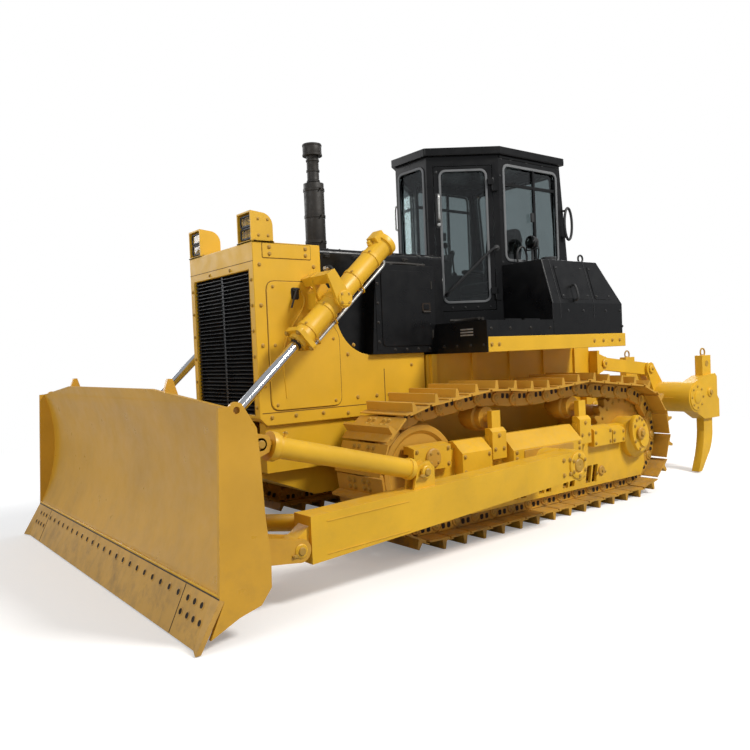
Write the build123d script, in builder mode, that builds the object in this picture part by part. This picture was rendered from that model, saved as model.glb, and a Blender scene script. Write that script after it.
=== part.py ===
"""Crawler bulldozer: straight tilt blade on outside push arms, six-sided cab, three-shank ripper.

Millimetres. +X points to the blade, +Y to the machine's left, +Z up. The ground is Z = 0 and the
origin lies on it, halfway between the blade's cutting edge and the back of the ripper.
Left and right pieces are mirror images about the XZ plane unless a comment says otherwise.
"""
import os
from math import asin, atan2, cos, degrees, hypot, pi, radians, sin, sqrt

from build123d import *

os.makedirs("parts", exist_ok=True)

# ----------------------------------------------------------------------------------------------
# Driving dimensions
# ----------------------------------------------------------------------------------------------
# Overall reach, both measured from the sprocket axle
front_reach = 4940.0            # tip of the cutting edge
rear_reach = 1950.0             # back of the ripper's shank pockets
sprocket_x = (rear_reach - front_reach) / 2

running_gap = 5.0               # between pieces that move past each other
seat_gap = 0.3                  # between pieces that are bolted or rest on each other
pin_gap = 0.5                   # round a pin in its bore
plate = 20.0                    # thickness of ears and ribs

# Track chain: single-grouser shoes bolted to forged links
track_gauge = 2000.0            # between the centres of the two tracks
ground_length = 2730.0          # sprocket axle to idler axle
shoe_count = 38                 # shoes a side
link_pitch = 216.0              # pin to pin
shoe_width = 560.0
shoe_plate = 14.0
grouser_height = 72.0
grouser_root = 44.0
grouser_tip = 22.0
shoe_gap = 14.0                 # between neighbouring shoe plates
shoe_lip = 40.0                 # tail that reaches out over the neighbour's plate
shoe_lip_plate = 9.0
pin_to_shoe = 63.0              # pin centre to the shoe plate's inner face
pin_to_rail = 67.0              # pin centre to the rail that the rollers run on
rail_scallop = 16.0             # how far a link's rail dips between its pins
link_thickness = 46.0
link_spread = 176.0             # between the centres of the two rows of links
idler_radius = 359.0            # tread of the idler
sprocket_pitch_radius = 434.0
carrier_radius = 92.0
roller_radius = 98.0
flange_height = 22.0            # roller flanges stand this much over the tread
roller_count = 6
roller_first = 525.0            # first track roller, forward of the sprocket axle
roller_last = 2175.0
carrier_places = (850.0, 1990.0)    # forward of the sprocket axle
carrier_rail_height = 1045.0    # underside of the chain where it lies on the carrier rollers
chain_sag = 46.0                # of the upper run between the carrier rollers

# Chassis
belly_height = 405.0            # clear height under the belly guard
belly_plate = 16.0
case_half_width = 440.0
case_front = 900.0
case_back = -190.0
frame_half_width = 520.0
beam_width = 90.0
frame_bottom = 640.0
frame_top = 1120.0
platform_top = 1742.0
platform_bottom = 1480.0
platform_half_width = 1210.0
platform_front = 2042.0
platform_back = 110.0
platform_sill = 1606.0          # the yellow sill ends here and the black one begins
platform_apron = 14.0           # black sheet that closes the sills' front

# Radiator guard and hood
guard_front = 3792.0
guard_back = 3197.0
guard_half_width = 555.0
guard_top = 2372.0
guard_bottom = 1000.0
guard_wall = 30.0
lamp_y = 440.0                  # headlamp boxes on the guard's top
lamp_half = 108.0
lamp_height = 228.0
lamp_length = 185.0
lamp_sheet = 12.0
grille_half_width = 479.0
grille_top = 2168.0
grille_bottom = 1085.0
louvre_count = 36
hood_half_width = 470.0
hood_neck_half = 295.0          # half width between the cab and the shoulder
hood_shoulder = 1820.0
hood_round = 45.0
hood_sheet = 12.0
cowl_half_width = 600.0         # black cowl between the hood and the cab
cowl_front = 2746.0
cowl_back = 1880.0
cowl_top = 2245.0
cowl_bottom = 1500.0

# Cab: six-sided in plan, door on each front corner
cab_front_half = 225.0          # half width of the windscreen wall
cab_side_half = 625.0
cab_front = 1740.0
cab_corner = 1190.0             # where the slanting door wall meets the side wall
cab_back_top = 290.0
cab_back_bottom = 150.0
cab_wall = 50.0
cab_roof_bottom = 3325.0
cab_roof_top = 3398.0
roof_overhang = 38.0
door_sill = 130.0               # wall left under the door
door_head = 90.0                # and over it
door_front_post = 60.0
door_rear_post = 60.0
door_gap = 6.0
door_open_deg = 100.0
glass = 8.0
window_radius = 60.0
window_middle = 2790.0          # side and rear windows
window_height = 900.0
windscreen_middle = 2810.0
windscreen_height = 860.0
rear_window_side = 110.0        # wall left beside the rear window

# Rear tank on the fenders and across the back
tank_front = 1193.0
tank_back = 152.0
tank_knee = 1888.0              # the outer face leans in above this height
tank_top = 2290.0
tank_top_half = 1095.0
tank_top_back = 385.0

# Exhaust
stack_x = 2861.0
stack_radius = 88.0
stack_shoulder = 3000.0
stack_pipe_radius = 52.0
stack_top = 3340.0

# Blade and its arms
blade_half_width = 1862.0
blade_top = 1345.0              # over the middle
blade_corner = 1257.0           # at the ends
blade_flat_half = 900.0         # the top edge is level out to here
blade_lip_x = 4742.0            # top of the mouldboard, forward of the sprocket axle
blade_foot_x = 4790.0           # bottom of the mouldboard, where the cutting edge starts
blade_foot_z = 262.0
blade_hollow = 125.0            # depth of the mouldboard's curve
blade_plate = 25.0
blade_back_x = 4490.0           # back of the box behind the mouldboard
edge_thickness = 30.0
edge_clearance = 6.0            # the edge is carried just off the ground
edge_lap = 205.0                # how far the end plate reaches down behind the edge
end_bit_width = 420.0
end_bit_bend = 90.0             # the outer part of the end bit turns forward
end_bit_flare = 30.0            # by this much at its foot
end_plate_back = (              # back of the end plate from its foot up: x from the sprocket axle, z
    (4680.0, 141.0),
    (4547.0, 177.0),
    (4481.0, 260.0),
    (4476.0, 420.0),
    (4500.0, 650.0),
    (4516.0, 990.0),
    (4527.0, 1134.0),
    (4607.0, 1266.0),
)
lug_centre = (4642.0, 1238.0)   # lifting lug at the top of each end plate
lug_radius = 45.0
lug_hole = 20.0
trunnion_x = 1500.0
trunnion_z = 530.0
trunnion_radius = 60.0
arm_inner = 1480.0
arm_width = 170.0
arm_front_x = 4080.0
arm_pin_place = (4160.0, 355.0)     # x from the sprocket axle, z
arm_front_z = 400.0
arm_height_front = 290.0
arm_height_rear = 226.0
brace_radius = 65.0
brace_front = (4372.0, 1010.0)  # x from the sprocket axle, z
brace_rear = (3130.0, 690.0)
strut_radius = 55.0             # diagonal struts from the arms to the middle of the blade
strut_arm_end = (3960.0, 460.0)     # x from the sprocket axle, z
strut_blade_end = (760.0, 430.0)    # y, z

# Lift cylinders
lift_y = 790.0
lift_trunnion = (3236.0, 1926.0)
lift_eye = (4395.0, 880.0)
lift_barrel_radius = 82.0
lift_rod_radius = 37.0
lift_gland = 480.0              # trunnion to the end of the gland
lift_tail = 690.0               # trunnion to the end of the cap
lift_eye_radius = 62.0
lift_eye_width = 80.0

# Ripper: parallel links, three shanks
ripper_a = (-330.0, 840.0)      # lower pin on the bracket: x from the sprocket axle, z
ripper_link_rise = 460.0        # bracket's lower pin to its upper pin
ripper_c = (-1215.0, 740.0)     # lower pin on the beam
beam_centre = (-1423.0, 871.0)
beam_radius = 170.0
beam_half = 1080.0
shank_y = 985.0
shank_thickness = 90.0
shank_depth = 190.0
shank_top = 1330.0
shank_front = ((0.0, 465.0), (34.0, 280.0), (84.0, 138.0), (140.0, 12.0))   # ahead of the shank's front, z
shank_rear = ((112.0, 186.0), (88.0, 210.0), (26.0, 323.0), (0.0, 443.0))   # ahead of its back, z
shank_tip_width = 74.0
ripper_pin_radius = 35.0
ripper_eye_radius = 75.0
ripper_arm_y = 425.0
ripper_arm_width = 90.0
ripper_cyl_y = 250.0
ripper_barrel_radius = 75.0
ripper_rod_radius = 35.0
ripper_link_y = 580.0
ripper_link_width = 80.0
ripper_gland = 695.0
ripper_rod_inside = 340.0
pocket_back = 110.0
ear = 30.0

# ----------------------------------------------------------------------------------------------
# Places worked out from them
# ----------------------------------------------------------------------------------------------
def at(x):
    """X of a place that is given forward of the sprocket axle."""
    return sprocket_x + x


def side(y):
    """Plane of a side view at this Y: sketch x is +X and sketch y is +Z."""
    return Plane(origin=(0, y, 0), x_dir=(1, 0, 0), z_dir=(0, -1, 0))


def plan(z):
    """Plane of a plan view at this height."""
    return Plane.XY.offset(z)


def section(x):
    """Plane of a cross section at this X: sketch x is +Y and sketch y is +Z."""
    return Plane.YZ.offset(x)


def wheel_plane(x, y, z):
    """Plane for a wheel's half section: sketch x is the radius, sketch y runs along the axle."""
    return Plane(origin=(x, y, z), x_dir=(1, 0, 0), z_dir=(0, 0, 1))


def along(origin, turn, distance, aside=0.0):
    """Point in a side view, some way along a direction and to its left."""
    return (
        origin[0] + distance * cos(turn) - aside * sin(turn),
        origin[1] + distance * sin(turn) + aside * cos(turn),
    )


def keep(piece, name):
    """Label a finished piece and write its STEP file."""
    piece.part.label = name
    export_step(piece.part, "parts/" + name + ".step")


pin_height = grouser_height + shoe_plate + pin_to_shoe
rail_height = pin_height + pin_to_rail
idler_x = at(ground_length)
idler_pin_radius = hypot(idler_radius + pin_to_rail, link_pitch / 2)
idler_z = pin_height + idler_pin_radius
sprocket_z = pin_height + sprocket_pitch_radius
track_y = track_gauge / 2
arm_outer = arm_inner + arm_width
sides = (("left", 1), ("right", -1))


# ----------------------------------------------------------------------------------------------
# Tracks: shoes and two rows of links round one closed path of pins
# ----------------------------------------------------------------------------------------------
def tangent_angle(centre, radius, point, turn):
    """Angle on a circle where the line from point touches it."""
    dx = point[0] - centre[0]
    dz = point[1] - centre[1]
    reach = hypot(dx, dz)
    return atan2(dz, dx) + turn * (pi / 2 - asin(radius / reach))


carrier_pin_z = carrier_rail_height + pin_to_rail
rear_rest = (at(carrier_places[0]), carrier_pin_z)
front_rest = (at(carrier_places[1]), carrier_pin_z)
idler_leave = tangent_angle((idler_x, idler_z), idler_pin_radius, front_rest, -1)
sprocket_meet = tangent_angle((sprocket_x, sprocket_z), sprocket_pitch_radius, rear_rest, 1)

with BuildLine(Plane.XY) as pin_path:
    Line((sprocket_x, pin_height), (idler_x, pin_height))
    CenterArc((idler_x, idler_z), idler_pin_radius, -90, degrees(idler_leave) + 90)
    Line(pin_path.line @ 1, front_rest)
    sag_point = ((front_rest[0] + rear_rest[0]) / 2, carrier_pin_z - chain_sag)
    ThreePointArc(front_rest, sag_point, rear_rest)
    sprocket_touch = (
        sprocket_x + sprocket_pitch_radius * cos(sprocket_meet),
        sprocket_z + sprocket_pitch_radius * sin(sprocket_meet),
    )
    Line(rear_rest, sprocket_touch)
    CenterArc(
        (sprocket_x, sprocket_z),
        sprocket_pitch_radius,
        degrees(sprocket_meet),
        270 - degrees(sprocket_meet),
    )
pin_wire = Wire(pin_path.line.edges())
chain_pitch = pin_wire.length / shoe_count
print("chain pitch", round(chain_pitch, 2))


def chain_links():
    """Middle point and travel direction, in degrees, of each link; outward is to its right."""
    links = []
    for number in range(shoe_count):
        start = pin_wire.position_at(number * chain_pitch, position_mode=PositionMode.LENGTH)
        end = pin_wire.position_at((number + 1) * chain_pitch, position_mode=PositionMode.LENGTH)
        middle = (start + end) / 2
        links.append((middle.X, middle.Y, degrees(atan2(end.Y - start.Y, end.X - start.X))))
    return links


links = chain_links()
half_pitch = chain_pitch / 2
shoe_inner = -pin_to_shoe
shoe_outer = shoe_inner - shoe_plate
grouser_x = -0.22 * chain_pitch
shoe_front = half_pitch - shoe_gap / 2
shoe_outline = (
    (-shoe_front, shoe_inner),
    (shoe_front, shoe_inner),
    (shoe_front, shoe_outer),
    (grouser_x + grouser_root / 2, shoe_outer),
    (grouser_x + grouser_tip / 2, shoe_outer - grouser_height),
    (grouser_x - grouser_tip / 2, shoe_outer - grouser_height),
    (grouser_x - grouser_root / 2, shoe_outer - shoe_lip_plate - seat_gap),
    (-shoe_front - shoe_lip, shoe_outer - shoe_lip_plate - seat_gap),
    (-shoe_front - shoe_lip, shoe_outer - seat_gap),
    (-shoe_front, shoe_outer - seat_gap),
)


def chain_loop(points):
    """Closed outline that repeats some points, given in a link's own frame, at every link."""
    outline = []
    for middle_x, middle_z, angle in links:
        turn = radians(angle)
        for x, z in points:
            outline.append((
                middle_x + x * cos(turn) - z * sin(turn),
                middle_z + x * sin(turn) + z * cos(turn),
            ))
    return outline


rail_flat = 0.32 * chain_pitch
link_back = chain_loop(((0, shoe_inner + seat_gap),))
link_rail = chain_loop((
    (-half_pitch, pin_to_rail - rail_scallop),
    (-rail_flat, pin_to_rail),
    (rail_flat, pin_to_rail),
))

for side_name, hand in sides:
    with BuildPart() as track:
        with BuildSketch(side(hand * track_y)):
            for middle_x, middle_z, angle in links:
                with Locations((middle_x, middle_z)):
                    Polygon(*shoe_outline, rotation=angle, align=None)
        extrude(amount=shoe_width / 2, both=True)
        for row in (-1, 1):
            row_y = hand * track_y + row * link_spread / 2
            with BuildSketch(side(row_y)):
                with BuildLine():
                    Polyline(*link_back, close=True)
                make_face()
                with BuildLine():
                    Polyline(*link_rail, close=True)
                make_face(mode=Mode.SUBTRACT)
            extrude(amount=link_thickness / 2, both=True)
    keep(track, "track_" + side_name)

# Idlers, sprockets and rollers. Wheel profiles are (radius, place along the axle).
rail_outer = link_spread / 2 + link_thickness / 2
rail_inner = link_spread / 2 - link_thickness / 2
flange_half = rail_inner - running_gap
tread_half = rail_outer + 6
idler_web = 196.0
axle_radius = 55.0


def wheel(profile, x, y, z):
    """Revolve a wheel's half section about its axle."""
    with BuildSketch(wheel_plane(x, y, z)) as half_section:
        with BuildLine():
            Polyline(*profile, close=True)
        make_face()
    revolve(half_section.sketch, axis=Axis((x, y, z), (0, 1, 0)))


idler_rim = idler_radius - 45
with BuildPart() as idlers:
    for side_name, hand in sides:
        wheel(
            (
                (axle_radius + pin_gap, -tread_half),
                (axle_radius + 70, -tread_half),
                (axle_radius + 80, -idler_web / 2),
                (idler_rim - 25, -idler_web / 2),
                (idler_rim, -tread_half),
                (idler_radius - seat_gap, -tread_half),
                (idler_radius - seat_gap, -flange_half),
                (idler_radius + flange_height, -flange_half + 8),
                (idler_radius + flange_height, flange_half - 8),
                (idler_radius - seat_gap, flange_half),
                (idler_radius - seat_gap, tread_half),
                (idler_rim, tread_half),
                (idler_rim - 25, idler_web / 2),
                (axle_radius + 80, idler_web / 2),
                (axle_radius + 70, tread_half),
                (axle_radius + pin_gap, tread_half),
            ),
            idler_x, hand * track_y, idler_z,
        )
keep(idlers, "idlers")

tooth_count = 25
tooth_root = sprocket_pitch_radius - 36
tooth_tip = sprocket_pitch_radius + 20
sprocket_width = 76.0
hub_radius = 200.0


def sprocket_outline():
    """Toothed outline: each tooth is a root point pair and a tip point pair."""
    points = []
    for number in range(tooth_count):
        for share, radius in ((-0.34, tooth_root), (-0.12, tooth_tip), (0.12, tooth_tip), (0.34, tooth_root)):
            turn = 2 * pi * (number + share) / tooth_count
            points.append((sprocket_x + radius * cos(turn), sprocket_z + radius * sin(turn)))
    return points


with BuildPart() as sprockets:
    for side_name, hand in sides:
        with BuildSketch(side(hand * track_y)):
            with BuildLine():
                Polyline(*sprocket_outline(), close=True)
            make_face()
        extrude(amount=sprocket_width / 2, both=True)
keep(sprockets, "sprockets")


def roller_profile(radius, shaft_half, shaft_radius):
    """Half section of a roller with two treads and an inner flange pair on its shaft."""
    tread = radius - seat_gap
    return (
        (0, -shaft_half),
        (shaft_radius, -shaft_half),
        (shaft_radius, -tread_half),
        (tread, -tread_half),
        (tread, -flange_half),
        (radius + flange_height, -flange_half + 8),
        (radius + flange_height, flange_half - 8),
        (tread, flange_half),
        (tread, tread_half),
        (shaft_radius, tread_half),
        (shaft_radius, shaft_half),
        (0, shaft_half),
    )


roller_z = rail_height + roller_radius
roller_step = (roller_last - roller_first) / (roller_count - 1)
roller_places = [roller_first + number * roller_step for number in range(roller_count)]
frame_half = 150.0              # track frame, half width
roller_shaft_half = frame_half - seat_gap
roller_shaft = 42.0
with BuildPart() as track_rollers:
    for side_name, hand in sides:
        for place in roller_places:
            wheel(roller_profile(roller_radius, roller_shaft_half, roller_shaft),
                  at(place), hand * track_y, roller_z)
keep(track_rollers, "track_rollers")



def height_under_chain(x, radius):
    """Height of a roller's centre that carries the upper run at this X."""
    heights = []
    for middle_x, middle_z, angle in links:
        if middle_z > idler_z and abs(middle_x - x) < half_pitch + radius:
            slope = radians(angle - 180)
            rail = middle_z + (x - middle_x) * sin(slope) / cos(slope) - pin_to_rail / cos(slope)
            heights.append(rail - radius / cos(slope))
    return min(heights)


carrier_shaft_half = 175.0
with BuildPart() as carrier_rollers:
    for side_name, hand in sides:
        for place in carrier_places:
            wheel(roller_profile(carrier_radius, carrier_shaft_half, roller_shaft),
                  at(place), hand * track_y, height_under_chain(at(place), carrier_radius))
keep(carrier_rollers, "carrier_rollers")

# Final drives: inner housing beside the case, outer hub past the sprocket
drive_radius = 300.0
hub_end = 290.0
bearing_cap = (60.0, 45.0)      # centre of the oval bearing cap from the axle
with BuildPart() as final_drives:
    for side_name, hand in sides:
        inner = -(track_y - case_half_width)
        near = sprocket_width / 2
        wheel(((0, hand * inner), (drive_radius - 60, hand * inner), (drive_radius, hand * (inner + 120)),
               (drive_radius, hand * (-near - 60)), (drive_radius - 60, hand * -near), (0, hand * -near)),
              sprocket_x, hand * track_y, sprocket_z)
        wheel(((0, hand * near), (hub_radius, hand * near), (hub_radius, hand * (hub_end - 60)),
               (hub_radius - 60, hand * (hub_end - 15)), (80, hand * hub_end), (0, hand * hub_end)),
              sprocket_x, hand * track_y, sprocket_z)
        with BuildSketch(side(hand * (track_y + hub_end - 30))):
            with Locations((sprocket_x + bearing_cap[0], sprocket_z + bearing_cap[1])):
                Ellipse(112, 180, rotation=-12)
        extrude(amount=-hand * 40)
        with BuildSketch(side(hand * (track_y + hub_end - 10))):
            with Locations((sprocket_x, sprocket_z - 20)):
                Circle(70)
        extrude(amount=-hand * 34)
keep(final_drives, "final_drives")

# Track frames: box beam over the rollers, cheeks that hold the shafts, carrier posts, trunnion
track_frame_top = 740.0
track_frame_bottom = rail_height + 2 * roller_radius + flange_height + 20
frame_front = 2290.0
frame_back = 500.0
cheek = 26.0
cheek_bottom = rail_height - 30
cheek_nose = idler_x + 130
hub_guard_back = -190.0
carrier_post_y = carrier_shaft_half + seat_gap
carrier_post = 50.0
carrier_base = 82.0
carrier_base_height = 250.0
trunnion_boss = 120.0
cheek_face = track_y + frame_half + cheek
carrier_base_slope = 30.0
carrier_base_face = cheek_face + carrier_base - 2
carrier_base_bottom = track_frame_top - 130
carrier_base_top = carrier_base_bottom + carrier_base_height
cover_lap = 52.0
guard_slot_low = cheek_bottom + 34
guard_slot_high = roller_z + 66
guard_slot_half = 36.0
guard_slot_lean = 34.0
frame_covers = (                # back, front, below and above the frame's top, reach out from the cheek, fall
    (2524.0, 2900.0, 130.0, 60.0, 66.0, 16.0),
    (2100.0, 2430.0, 220.0, 50.0, 96.0, 90.0),
    (960.0, 1870.0, 180.0, 52.0, 120.0, 130.0),
    (424.0, 700.0, 180.0, 5.0, 62.0, 34.0),
)
hub_cover_back = 215.0
hub_cover_front = 410.0
hub_cover_depth = 160.0
hub_cover_drop = 20.0
hub_cover_reach = 62.0
hub_cover_fall = 34.0
for side_name, hand in sides:
    with BuildPart() as track_frame:
        with BuildSketch(side(hand * track_y)):
            with BuildLine():
                Polyline(
                    (at(frame_back), track_frame_bottom),
                    (at(frame_front), track_frame_bottom),
                    (at(frame_front), track_frame_top - 60),
                    (at(frame_front - 80), track_frame_top),
                    (at(frame_back + 220), track_frame_top),
                    (at(frame_back), track_frame_bottom + 140),
                    close=True,
                )
            make_face()
        extrude(amount=frame_half + 1, both=True)
        for edge in (-1, 1):
            outer = edge == hand
            tail = hub_guard_back if outer else drive_radius + 30
            with BuildSketch(side(hand * track_y + edge * (frame_half + cheek / 2))):
                with BuildLine():
                    Polyline(
                        (at(tail + 60), cheek_bottom),
                        (at(roller_last + 80), cheek_bottom),
                        (cheek_nose - 20, idler_z - 150),
                        (cheek_nose, idler_z - 60),
                        (cheek_nose, idler_z + 60),
                        (cheek_nose - 60, idler_z + 110),
                        (at(frame_front), track_frame_top),
                        (at(tail + 450), track_frame_top),
                        (at(tail), sprocket_z + 60),
                        (at(tail), cheek_bottom + 90),
                        close=True,
                    )
                make_face()
                if outer:
                    with Locations((sprocket_x, sprocket_z)):
                        Circle(hub_radius + seat_gap, mode=Mode.SUBTRACT)
                    # slots between the rollers
                    for place in roller_places[:-1]:
                        for share in (0.36, 0.64):
                            middle = at(place + share * roller_step)
                            Polygon(
                                (middle - guard_slot_half, guard_slot_low),
                                (middle + guard_slot_half, guard_slot_low),
                                (middle + guard_slot_half - guard_slot_lean, guard_slot_high),
                                (middle - guard_slot_half - guard_slot_lean, guard_slot_high),
                                align=None,
                                mode=Mode.SUBTRACT,
                            )
            extrude(amount=cheek / 2, both=True)
        # covers and guides bolted to the outer cheek
        for back, front, below, above, reach, fall in frame_covers:
            bottom = track_frame_top - below
            top = track_frame_top + above
            with BuildSketch(section(at(back))):
                Polygon(
                    (hand * (cheek_face - 2), bottom),
                    (hand * (cheek_face + reach), bottom),
                    (hand * (cheek_face + reach), top - fall),
                    (hand * (cheek_face - 10), top),
                    (hand * (cheek_face - cover_lap), top),
                    (hand * (cheek_face - cover_lap), track_frame_top - 2),
                    (hand * (cheek_face - 2), track_frame_top - 2),
                    align=None,
                )
            extrude(amount=front - back)
        hub_cover_top = track_frame_top - hub_cover_drop
        with BuildSketch(section(at(hub_cover_back))):
            Polygon(
                (hand * (cheek_face - 2), hub_cover_top - hub_cover_depth),
                (hand * (cheek_face + hub_cover_reach), hub_cover_top - hub_cover_depth),
                (hand * (cheek_face + hub_cover_reach), hub_cover_top - hub_cover_fall),
                (hand * (cheek_face - 2), hub_cover_top),
                align=None,
            )
        extrude(amount=hub_cover_front - hub_cover_back)
        # idler axle
        with BuildSketch(side(hand * track_y)):
            with Locations((idler_x, idler_z)):
                Circle(axle_radius)
        extrude(amount=frame_half + cheek, both=True)
        # carrier roller posts
        for place in carrier_places:
            post_top = height_under_chain(at(place), carrier_radius) + 60
            post_middle = track_y + carrier_post_y + carrier_post / 2
            with BuildSketch(section(at(place - carrier_base))):
                Polygon(
                    (hand * (cheek_face - 2), carrier_base_bottom),
                    (hand * carrier_base_face, carrier_base_bottom),
                    (hand * carrier_base_face, carrier_base_top - carrier_base_slope),
                    (hand * (carrier_base_face - carrier_base_slope), carrier_base_top),
                    (hand * (cheek_face - 2), carrier_base_top),
                    align=None,
                )
            extrude(amount=2 * carrier_base)
            with BuildSketch(side(hand * post_middle)):
                with BuildLine():
                    Polyline(
                        (at(place - 90), track_frame_top - 120),
                        (at(place + 90), track_frame_top - 120),
                        (at(place + 90), track_frame_top + 60),
                        (at(place + 50), track_frame_top + 110),
                        (at(place + 50), post_top),
                        (at(place - 50), post_top),
                        (at(place - 50), track_frame_top + 110),
                        (at(place - 90), track_frame_top + 60),
                        close=True,
                    )
                make_face()
            extrude(amount=carrier_post / 2, both=True)
        # trunnion that carries the push arm
        with BuildSketch(side(hand * (track_y + frame_half + cheek - 2))):
            with Locations((at(trunnion_x), trunnion_z)):
                Circle(trunnion_boss)
        extrude(amount=-hand * (arm_inner - running_gap - track_y - frame_half - cheek))
        with BuildSketch(side(hand * (track_y + frame_half))):
            with Locations((at(trunnion_x), trunnion_z)):
                Circle(trunnion_radius)
        extrude(amount=-hand * (arm_outer + 10 - track_y - frame_half))
    keep(track_frame, "track_frame_" + side_name)

# ----------------------------------------------------------------------------------------------
# Chassis
# ----------------------------------------------------------------------------------------------
case_bottom = belly_height + belly_plate + 30
deck_half = 560.0
deck_bottom = 1180.0
engine_front = 3080.0
engine_back = 2150.0
engine_half = 300.0
engine_top = 2000.0
beam_front = guard_front - 60
beam_y = frame_half_width - beam_width / 2
with BuildPart() as main_frame:
    # steering case and rear deck frame
    with BuildSketch(section(at(case_back))):
        with Locations((0, (case_bottom + deck_bottom) / 2 + 1)):
            Rectangle(2 * case_half_width - 2 * seat_gap, deck_bottom - case_bottom + 2)
    extrude(amount=case_front - case_back)
    with BuildSketch(section(at(case_back))):
        with Locations((0, (platform_bottom + deck_bottom) / 2)):
            Rectangle(2 * deck_half, platform_bottom - deck_bottom)
    extrude(amount=platform_front + 88 - case_back)
    # two longitudinal beams to the radiator guard, and cross members
    for hand in (1, -1):
        with BuildSketch(section(at(case_front - 10))):
            with Locations((hand * beam_y, (frame_bottom + frame_top) / 2)):
                Rectangle(beam_width, frame_top - frame_bottom)
        extrude(amount=beam_front - case_front + 10)
        # ribs on the rear deck frame
        for place in (60, 560, 1060, 1560, 2060):
            with BuildSketch(plan(deck_bottom)):
                with Locations((at(place), hand * (deck_half + 12))):
                    Rectangle(60, 28)
            extrude(amount=platform_bottom - deck_bottom)
    for place in (case_front + 500, engine_back + 60, engine_front - 120, beam_front - 60):
        with BuildSketch(section(at(place))):
            with Locations((0, frame_bottom + 90)):
                Rectangle(2 * frame_half_width - 20, 180)
        extrude(amount=60)
    # risers from the beams to the rear deck frame
    for hand in (1, -1):
        with BuildSketch(section(at(case_front + 40))):
            with Locations((hand * beam_y, (frame_top + deck_bottom) / 2)):
                Rectangle(beam_width, deck_bottom - frame_top + 20)
        extrude(amount=1180)
keep(main_frame, "main_frame")

# Belly guard: trough under the beams, sloping up in front
guard_slope = 3250.0
belly_back = 300.0
with BuildPart() as belly_guard:
    with BuildSketch(side(0)):
        with BuildLine():
            Polyline(
                (at(belly_back), belly_height),
                (at(guard_slope), belly_height),
                (at(beam_front), frame_bottom - 40),
                (at(beam_front), frame_bottom - seat_gap),
                (at(case_front + 60), frame_bottom - seat_gap),
                (at(case_front + 60), case_bottom - seat_gap),
                (at(belly_back), case_bottom - seat_gap),
                close=True,
            )
        make_face()
    extrude(amount=frame_half_width - 100, both=True)
    with BuildSketch(side(0)):
        with BuildLine():
            Polyline(
                (at(case_front + 100), belly_height + belly_plate),
                (at(guard_slope - 4), belly_height + belly_plate),
                (at(beam_front - 24), frame_bottom - 30),
                (at(beam_front - 24), frame_top),
                (at(case_front + 100), frame_top),
                close=True,
            )
        make_face()
    extrude(amount=frame_half_width - 100 - belly_plate, both=True, mode=Mode.SUBTRACT)
keep(belly_guard, "belly_guard")

# Engine: one plain block on the beams' cross members
with BuildPart() as engine:
    with BuildSketch(plan(frame_bottom + 180 + seat_gap)):
        with Locations(((at(engine_front) + at(engine_back)) / 2, 0)):
            Rectangle(engine_front - engine_back, 2 * engine_half)
    extrude(amount=engine_top - frame_bottom - 180)
keep(engine, "engine")

# Radiator guard with its side sheets, grille and core
sheet_notch = 2746.0
sheet_back = 2150.0
sheet_top = platform_bottom + 20
with BuildPart() as radiator_guard:
    with BuildSketch(side(0)):
        with BuildLine():
            Polyline(
                (at(guard_back), guard_top),
                (at(guard_front), guard_top),
                (at(guard_front), guard_bottom + 60),
                (at(guard_front - 60), guard_bottom),
                (at(sheet_back), guard_bottom),
                (at(sheet_back), sheet_top),
                (at(sheet_notch), sheet_top),
            )
            ThreePointArc((at(sheet_notch), sheet_top), (at(2960), 1600), (at(3060), 1780))
            Polyline((at(3060), 1780), (at(guard_back), 2020), (at(guard_back), guard_top))
        make_face()
    extrude(amount=guard_half_width, both=True)
    # hollow behind the front wall, open to the back and below
    with BuildSketch(section(at(sheet_back - 10))):
        with Locations((0, (guard_bottom - 20 + guard_top - guard_wall) / 2)):
            Rectangle(2 * (guard_half_width - guard_wall), guard_top - guard_wall - guard_bottom + 20)
    extrude(amount=guard_front - guard_wall - sheet_back + 10, mode=Mode.SUBTRACT)
    # opening for the grille
    with BuildSketch(section(at(guard_front - 2 * guard_wall))):
        with Locations((0, (grille_bottom + grille_top) / 2)):
            Rectangle(2 * grille_half_width, grille_top - grille_bottom)
    extrude(amount=3 * guard_wall, mode=Mode.SUBTRACT)
keep(radiator_guard, "radiator_guard")

louvre_pitch = (grille_top - grille_bottom - 2 * seat_gap) / louvre_count
with BuildPart() as grille:
    for row in range(louvre_count):
        louvre_z = grille_bottom + seat_gap + (row + 0.5) * louvre_pitch
        with BuildSketch(side(0)):
            with BuildLine():
                Polyline(
                    (at(guard_front - 44), louvre_z + 12),
                    (at(guard_front - 10), louvre_z - 9),
                    (at(guard_front - 10), louvre_z - 13),
                    (at(guard_front - 44), louvre_z + 8),
                    close=True,
                )
            make_face()
        extrude(amount=grille_half_width - seat_gap, both=True)
    for post_y in (-grille_half_width + 15, 0, grille_half_width - 15):
        with BuildSketch(section(at(guard_front - 50))):
            with Locations((post_y, (grille_bottom + grille_top) / 2)):
                Rectangle(30 - 2 * seat_gap, grille_top - grille_bottom - 2 * seat_gap)
        extrude(amount=30)
keep(grille, "grille")

core_front = guard_front - guard_wall - 60
with BuildPart() as radiator_core:
    with BuildSketch(section(at(core_front - 160))):
        with Locations((0, (frame_top + guard_top - 80) / 2)):
            Rectangle(2 * (guard_half_width - guard_wall - seat_gap), guard_top - 80 - frame_top - 2 * seat_gap)
    extrude(amount=160)
keep(radiator_core, "radiator_core")

# Hood over the engine, cowls beside it and exhaust stack
hood_back = cab_front + seat_gap
hood_bottom = platform_bottom + seat_gap


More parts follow.
